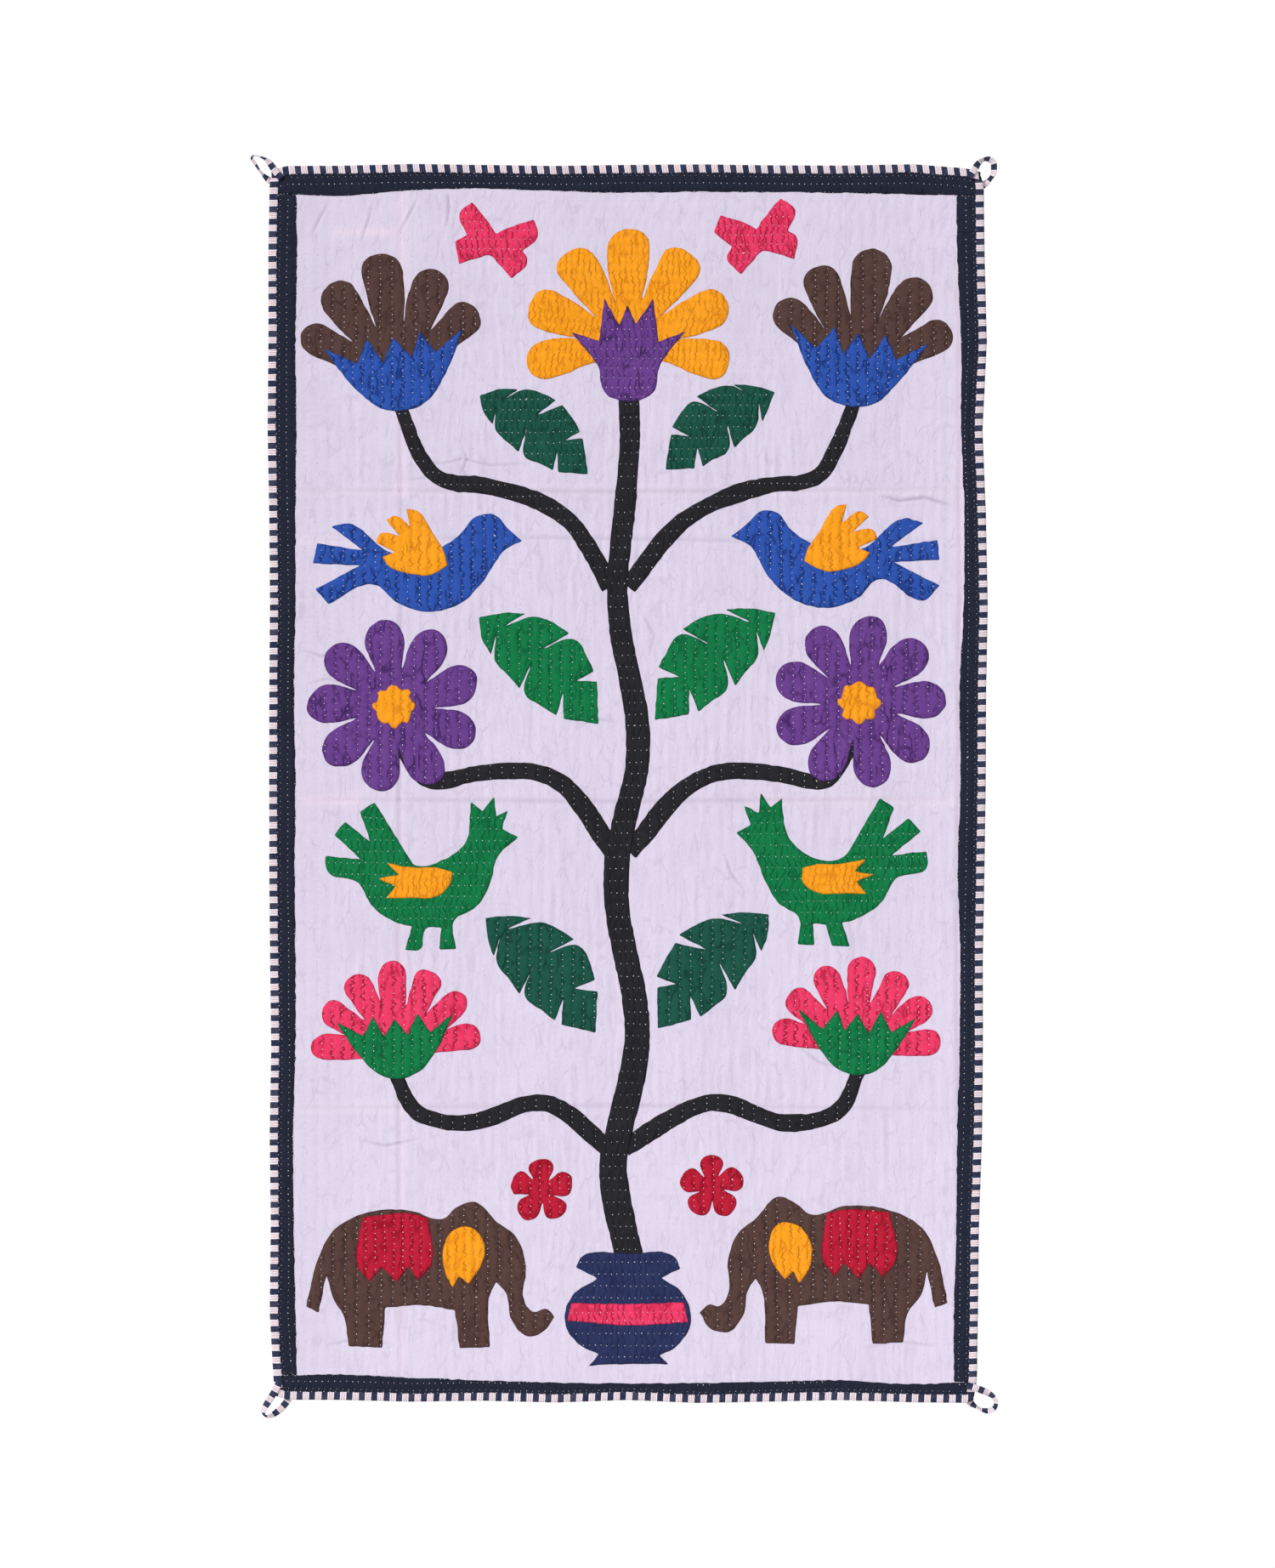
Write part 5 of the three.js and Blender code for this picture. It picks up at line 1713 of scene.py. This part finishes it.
@dataclass
class EdgeTape:
    """The striped tape folded over one side of the quilt and hemmed down in front."""

    solids: Solids
    node: str
    lean: float
    start: float = 0.0
    width: float = 10.0
    step: float = 5.0
    seed: int = 40

    # The folded tape as distances in from the edge and forward of the quilt's back.
    SECTION = (
        (9.6, 3.7), (10.1, 3.95), (9.7, 4.25), (8.2, 4.4), (5.2, 4.5), (2.6, 4.4), (1.0, 4.05), (0.1, 3.3),
        (-0.2, 2.2), (-0.2, 1.0), (0.1, 0.0), (0.9, -0.7), (2.4, -0.98), (5.2, -1.08), (8.6, -1.0),
        (9.9, -0.75), (9.9, -0.45), (8.4, -0.35), (1.4, -0.2), (0.7, 0.6), (0.7, 2.8), (1.4, 3.55),
    )
    FRONT = 8
    OPPOSITE = {"top": "bottom", "bottom": "top", "left": "right", "right": "left"}

    def __post_init__(self) -> None:
        """Finds the tape's outer and inner edge and draws its unevenness."""
        self.side = self.node.rsplit("_", 1)[1]
        sides = Outline.of_solid(self.solids[self.node]).sides()
        outer, inner = sides[self.side], sides[self.OPPOSITE[self.side]]
        run, cross = (0, 1) if self.side in ("top", "bottom") else (1, 0)
        self.count = int(length_of(outer) / self.step)
        self.run = np.linspace(0, length_of(outer), self.count + 1)
        self.outside = along(outer, self.run / self.run[-1])
        self.inside = self.outside.copy()
        self.inside[:, cross] = np.interp(self.outside[:, run], inner[:, run], inner[:, cross])
        self.wave = Unevenness(self.seed, 11).at(self.run, self.run * 0)
        self.swell = Unevenness(self.seed + 1, 5).at(self.run, self.run * 0)

    def across(self, inward: float | Array) -> Array:
        """Returns the line that lies a distance in from the outer edge."""
        share = np.broadcast_to(inward, len(self.run)) / self.width
        return self.outside + (self.inside - self.outside) * share[:, None]

    def build(self, lay: LayMap, drape: Drape) -> Object:
        """Makes the tape.

        Args:
            lay: Map of the cloths that it folds over.
            drape: Folds of the quilt.

        Returns:
            The tape, closed at both ends.
        """
        section = np.array(self.SECTION)
        girth = run_of(section)
        made = ClothMesh()
        rounds, wide = len(section), self.count + 1
        for k, (inward, forward) in enumerate(section):
            places = self.across(inward + (0.4 * self.wave if inward > 8 else 0.1 * self.swell))
            height = np.full(wide, forward) + (0.16 * self.swell if 2 < inward < 9 else 0)
            if k < self.FRONT:
                height = np.maximum(height, lay.sample(places) + 0.3 + (forward - 3.7) * 0.5)
            lean = math.tan(math.radians(self.lean)) * girth[k]
            grain = np.column_stack([self.run + self.start + lean, np.full(wide, girth[k])])
            made.add(places, height, grain)
        outward = self.side in ("top", "left")
        for k in range(rounds):
            for n in range(self.count):
                a, b = k * wide + n, (k + 1) % rounds * wide + n
                quad = (a, a + 1, b + 1, b)
                made.faces.append(quad if outward else quad[::-1])
        for n in (0, self.count):
            cap = tuple(k * wide + n for k in range(rounds))
            made.faces.append(cap if (n == 0) == outward else cap[::-1])
        return made.object(f"{self.node}_cloth", drape, StripedTape().material())

    def stitches(self, lay: LayMap, work: Needlework) -> None:
        """Sews the slanting hemming stitches along the tape's inner edge.

        Args:
            lay: Map of the cloths.
            work: Collects the stitches.
        """
        rng = np.random.default_rng(self.seed)
        shares = np.arange(0.01, 0.99, STITCH_PITCH / self.run[-1])
        places = along(self.across(10.3 + 0.4 * self.wave), shares + rng.normal(0, 0.0005, len(shares)))
        level = 90 if self.side in ("top", "bottom") else 0
        turn = math.radians(level) + rng.normal(0.3, 0.25, len(places))
        work.line("strip_stitches").add(
            places, np.maximum(lay.sample(places), 3.9), turn, rng.normal(1.7, 0.25, len(places)), 0.72)


# How far forward a loop lies where it is sewn on in front or behind, and where it hangs free.
FRONT, BEHIND, BETWEEN = 5.55, -2.15, 1.7


@dataclass
class CornerLoop:
    """A loop of the striped tape at one corner, sewn on in front and behind.

    Each of its bends lies so far out from the corner, above or below it and forward, in millimetres,
    and shows a share of the tape's width to the front.
    """

    corner: str
    side: int
    up: int
    bends: tuple[tuple[float, float, float, float], ...]
    width: float = 8.5
    thickness: float = 1.1
    step: float = 1.5
    cupped: float = 0.35
    parts: int = 8

    def route(self) -> Array:
        """Draws a smooth line through the bends.

        Returns:
            x, z, forward and face at each station.
        """
        corner = (self.side * WIDTH / 2, 0.0 if self.up > 0 else -HEIGHT, 0.0, 0.0)
        given = np.array(self.bends) * (self.side, self.up, 1, 1) + corner
        wide = np.vstack([2 * given[0] - given[1], given, 2 * given[-1] - given[-2]])
        fine = []
        for k in range(1, len(wide) - 2):
            for t in np.linspace(0, 1, self.parts, endpoint=False):
                a, b, c, d = wide[k - 1 : k + 3]
                fine.append(0.5 * (2 * b + (c - a) * t + (2 * a - 5 * b + 4 * c - d) * t**2
                                   + (3 * b - a - 3 * c + d) * t**3))
        fine = np.array(fine + [given[-1]])
        return along(fine, np.linspace(0, 1, int(length_of(fine[:, :3]) / self.step) + 1))

    def build(self, drape: Drape) -> Object:
        """Makes the loop.

        Args:
            drape: Folds of the quilt.

        Returns:
            The tape, closed at both ends.
        """
        route = self.route()
        spots, forward, face = route[:, :2], route[:, 2], np.clip(route[:, 3], 0, 1)
        step = np.gradient(spots, axis=0)
        step /= np.linalg.norm(step, axis=1, keepdims=True)
        across = np.column_stack([-step[:, 1], step[:, 0]])
        depth = np.sqrt(1 - face**2)
        run = run_of(route[:, :3])
        front = [(w, 0.5) for w in (0.47, 0.3, 0.1, -0.1, -0.3, -0.47)] + [(-0.5, 0.0)]
        section = front + [(-w, -t) for w, t in front]
        made = ClothMesh()
        for wide, thick in section:
            cup = self.cupped * (0.25 - wide * wide) * 2 * self.thickness
            w, t = wide * self.width, thick * self.thickness + cup
            places = spots + across * (w * face - t * depth)[:, None]
            girth = w if thick >= 0 else 2 * self.width - w
            made.add(places, forward + w * depth + t * face,
                     np.column_stack([run, np.full(len(run), girth)]))
        count, rounds = len(run), len(section)
        for k in range(rounds):
            for n in range(count - 1):
                a, b = k * count + n, (k + 1) % rounds * count + n
                made.faces.append((a, b, b + 1, a + 1))
        made.faces.append(tuple(k * count for k in range(rounds))[::-1])
        made.faces.append(tuple(k * count + count - 1 for k in range(rounds)))
        return made.object(f"loop_{self.corner}_cloth", drape, StripedTape().material())


LOOPS = (
    CornerLoop("top_left", -1, 1, (
        (-15, -16, FRONT, 1), (-9, -10, FRONT, 1), (-4, -3, FRONT, 1), (1, 4, 4.2, 0.8), (6, 8, 2.4, 0.4),
        (13, 11, BETWEEN, 0.25), (20, 12, BETWEEN, 0.2), (22.5, 9, BETWEEN, 0.3), (18, 2, BETWEEN, 0.35),
        (13.5, -5, BETWEEN, 0.2), (8, -12, 0, 0.4), (1, -18, BEHIND, 1), (-6, -21, BEHIND, 1))),
    CornerLoop("top_right", 1, 1, (
        (-18, -16, FRONT, 1), (-14, -9, FRONT, 1), (-9.5, -2, FRONT, 1), (-5, 4, 4.6, 0.7),
        (1, 7.5, BETWEEN, 0.4), (7, 7.5, BETWEEN, 0.75), (12, 3.5, BETWEEN, 0.85),
        (13, -3.5, BETWEEN, 0.85), (12, -11, BETWEEN, 0.7), (8, -17, 0, 0.6), (3, -22, BEHIND, 1),
        (-3, -26, BEHIND, 1), (-8, -28, BEHIND, 1))),
    CornerLoop("bottom_left", -1, -1, (
        (-13, -26, FRONT, 1), (-9.5, -18, FRONT, 1), (-5, -10, FRONT, 1), (0, -2, 4, 1),
        (5, 6, BETWEEN, 0.95), (8, 13, BETWEEN, 0.6), (5.5, 18.5, BETWEEN, 0.35), (-2, 18, BETWEEN, 0.75),
        (-11, 12, BETWEEN, 1), (-18, 5, -0.6, 1), (-23, -2, BEHIND, 1), (-27, -9, BEHIND, 1))),
    CornerLoop("bottom_right", 1, -1, (
        (-21, -20, FRONT, 1), (-13, -18, FRONT, 1), (-4, -14.5, 4.6, 1), (5, -10.5, BETWEEN, 0.95),
        (12.5, -5, BETWEEN, 0.6), (15.5, 3, BETWEEN, 0.45), (12, 10, BETWEEN, 0.55),
        (4.5, 12, BETWEEN, 0.7), (-3, 10.5, BETWEEN, 0.35), (-9.5, 7, 0, 0.4), (-16, 2.5, BEHIND, 1),
        (-22, -3, BEHIND, 1), (-26, -9, BEHIND, 1))),
)

# Name, cloth, way of the rows and spacing of the rows of each motif, from the lowest layer up.
MOTIFS = (
    ("lotus", GOLD, Way.LEVEL, 12.0), ("branch_low", BLACK, Way.UPRIGHT, ROW_SPACING),
    ("branch_middle", BLACK, Way.UPRIGHT, ROW_SPACING), ("branch_top", BLACK, Way.LEVEL, ROW_SPACING),
    ("tulip", BROWN, Way.UPRIGHT, ROW_SPACING), ("dove", ROYAL, Way.UPRIGHT, 13.5),
    ("hen", GREEN, Way.LEVEL, 14.0), ("carnation", PINK, Way.UPRIGHT, 12.8),
    ("elephant", BROWN, Way.UPRIGHT, ROW_SPACING), ("star", RED, Way.UPRIGHT, 12.0),
    ("leaf_top", DARK_GREEN, Way.LEVEL, 13.5), ("leaf_upper", GREEN, Way.UPRIGHT, 13.0),
    ("leaf_lower", DARK_GREEN, Way.UPRIGHT, 13.5), ("butterfly", PINK, Way.LEVEL, 11.5),
    ("trunk", BLACK, Way.LEVEL, ROW_SPACING), ("tulip_calyx", ROYAL, Way.UPRIGHT, 12.5),
    ("dove_wing", GOLD, Way.UPRIGHT, 11.5), ("daisy", PURPLE, Way.UPRIGHT, 14.0),
    ("hen_wing", GOLD, Way.LEVEL, 11.5), ("carnation_calyx", GREEN, Way.UPRIGHT, 12.0),
    ("saddle", RED, Way.UPRIGHT, 11.5), ("ear", GOLD, Way.UPRIGHT, 10.5),
    ("daisy_eye", GOLD, Way.UPRIGHT, 10.5), ("lotus_heart", PURPLE, Way.LEVEL, 12.0),
    ("pot", POT_NAVY, Way.LEVEL, ROW_SPACING), ("pot_band", PINK, Way.LEVEL, 10.5),
)
SINGLE = ("lotus", "trunk", "lotus_heart", "pot", "pot_band")


@dataclass
class Studio:
    """Pale floor, soft lights and a square-on camera."""

    distance: float = 6.0
    frame_height: float = 1.955
    centre: tuple[float, float] = (0.0135, -0.771)
    sensor: float = 36.0
    floor: float = -2.3
    radius: float = 3.0
    sides: int = 64

    def camera(self) -> None:
        """Places the camera square to the cloth."""
        data = bpy.data.cameras.new("camera")
        data.sensor_width = self.sensor
        data.lens = self.sensor * self.distance / self.frame_height
        camera = linked("camera", data)
        camera.location = (self.centre[0], -self.distance, self.centre[1])
        camera.rotation_euler = (math.pi / 2, 0, 0)
        bpy.context.scene.camera = camera

    @staticmethod
    def light(name: str, towards: Vector, breadth: float, strength: float) -> None:
        """Adds a distant soft light.

        Args:
            name: Name of the light.
            towards: Direction from the hanging to the light.
            breadth: How wide the light looks, in degrees: the wider, the softer.
            strength: Its strength in watts a square metre.
        """
        data = bpy.data.lights.new(name, "SUN")
        data.angle, data.energy = math.radians(breadth), strength
        linked(name, data).rotation_euler = towards.to_track_quat("Z", "Y").to_euler()

    def build(self) -> None:
        """Makes the floor, the lights, the white surround and the camera."""
        mesh = bpy.data.meshes.new("floor")
        angles = np.linspace(0, 2 * math.pi, self.sides, endpoint=False)
        spots = [(self.radius * math.cos(a), self.radius * math.sin(a), self.floor) for a in angles]
        mesh.from_pydata(spots, [], [tuple(range(self.sides))])
        pale = bpy.data.materials.new("pale_floor")
        pale.use_nodes = True
        shader = pale.node_tree.nodes["Principled BSDF"]
        shader.inputs["Base Color"].default_value = linear("#F2F1EF")
        shader.inputs["Roughness"].default_value = 0.9
        mesh.materials.append(pale)
        linked("floor", mesh)
        world = bpy.data.worlds.new("studio")
        world.use_nodes = True
        tree = world.node_tree
        tree.nodes.clear()
        seen = put(tree, "ShaderNodeLightPath").outputs["Is Camera Ray"]
        strength = put(tree, "ShaderNodeMapRange", {0: seen, 3: 0.38, 4: 1.03})
        sky = put(tree, "ShaderNodeBackground", {"Color": (1, 1, 1, 1), "Strength": strength})
        put(tree, "ShaderNodeOutputWorld", {"Surface": sky})
        bpy.context.scene.world = world
        bpy.context.scene.view_settings.view_transform = "Standard"
        self.light("key", Vector((-1.0, -0.95, 0.9)), 14, 2.62)
        self.light("fill", Vector((1.2, -1.6, -0.1)), 40, 0.45)
        self.light("back", Vector((0.3, 1.0, 0.5)), 40, 1.2)
        self.camera()


@dataclass
class WallHanging:
    """The whole hanging, built from the back forward."""

    solids: Solids
    pieces: list[Object] = field(default_factory=list)

    def keep(self, piece: Object, slot: str | None = None, *nodes: str) -> Object:
        """Seats a piece on the frame and reports it.

        Args:
            piece: The finished piece.
            slot: Material slot of the piece, none for thread; not used.
            *nodes: Frame nodes that it stands for.

        Returns:
            The piece.
        """
        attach(piece, "root")
        if nodes:
            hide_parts(*nodes)
        self.pieces.append(piece)
        log.info("%s: %d faces", piece.name, len(piece.data.polygons))
        return piece

    def applied(self) -> list[Applied]:
        """Lists the applied cloths.

        Returns:
            The four strips and every motif, from the lowest layer up.
        """
        made = [NavyStrip(self.solids, f"border_{side}", number=n + 1, thread="strip_stitches")
                for n, side in enumerate(("left", "right", "top", "bottom"))]
        for name, cloth, way, spacing in MOTIFS:
            for side in ("",) if name in SINGLE else ("_left", "_right"):
                thread = "gold_stitches" if cloth is GOLD else "patch_stitches"
                made.append(Applied(self.solids, name + side, cloth, way, spacing,
                                    number=len(made) + 1, thread=thread))
        return made

    def build(self) -> None:
        drape, lay = Drape(self.solids["quilted_ground"]), LayMap()
        work, quilt = Needlework(), Quilt(self.solids)
        cells = lay.cells(np.full(2, -np.inf), np.full(2, np.inf))[2]
        lay.height = quilt.top(cells)[0].reshape(lay.height.shape)
        applied = self.applied()
        for cloth in applied:
            self.keep(cloth.build(lay, drape), cloth.finish.slot, cloth.node)
        top = self.keep(quilt.top_cloth(drape, lay), LILAC.slot, "quilted_ground")
        backing = self.keep(quilt.backing(drape), LILAC.slot)
        tapes = [EdgeTape(self.solids, f"binding_{side}", lean, start=4.0 * n, seed=40 + 2 * n)
                 for n, (side, lean) in enumerate((("top", 8), ("bottom", 3), ("left", 1), ("right", -2)))]
        for tape in tapes:
            self.keep(tape.build(lay, drape), StripedTape.slot, tape.node)
        for loop in LOOPS:
            self.keep(loop.build(drape), StripedTape.slot, f"loop_{loop.corner}")
        for sewn in (quilt, *applied, *tapes):
            sewn.stitches(lay, work)
        for n, (name, thread, sides) in enumerate((
                ("ground_stitches", LILAC_THREAD, 4), ("backing_stitches", LILAC_THREAD, 4),
                ("patch_stitches", WHITE_THREAD, 5), ("strip_stitches", WHITE_THREAD, 5),
                ("gold_stitches", GOLD_THREAD, 5))):
            self.keep(work.build(name, thread, drape, sides, 70 + n))


def main() -> None:
    """Builds the hanging and its studio."""
    logging.basicConfig(level=logging.INFO, format="%(name)s %(message)s")
    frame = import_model()
    WallHanging({name: node.data for name, node in frame["nodes"].items()}).build()
    Studio().build()


if __name__ == "__main__":
    main()
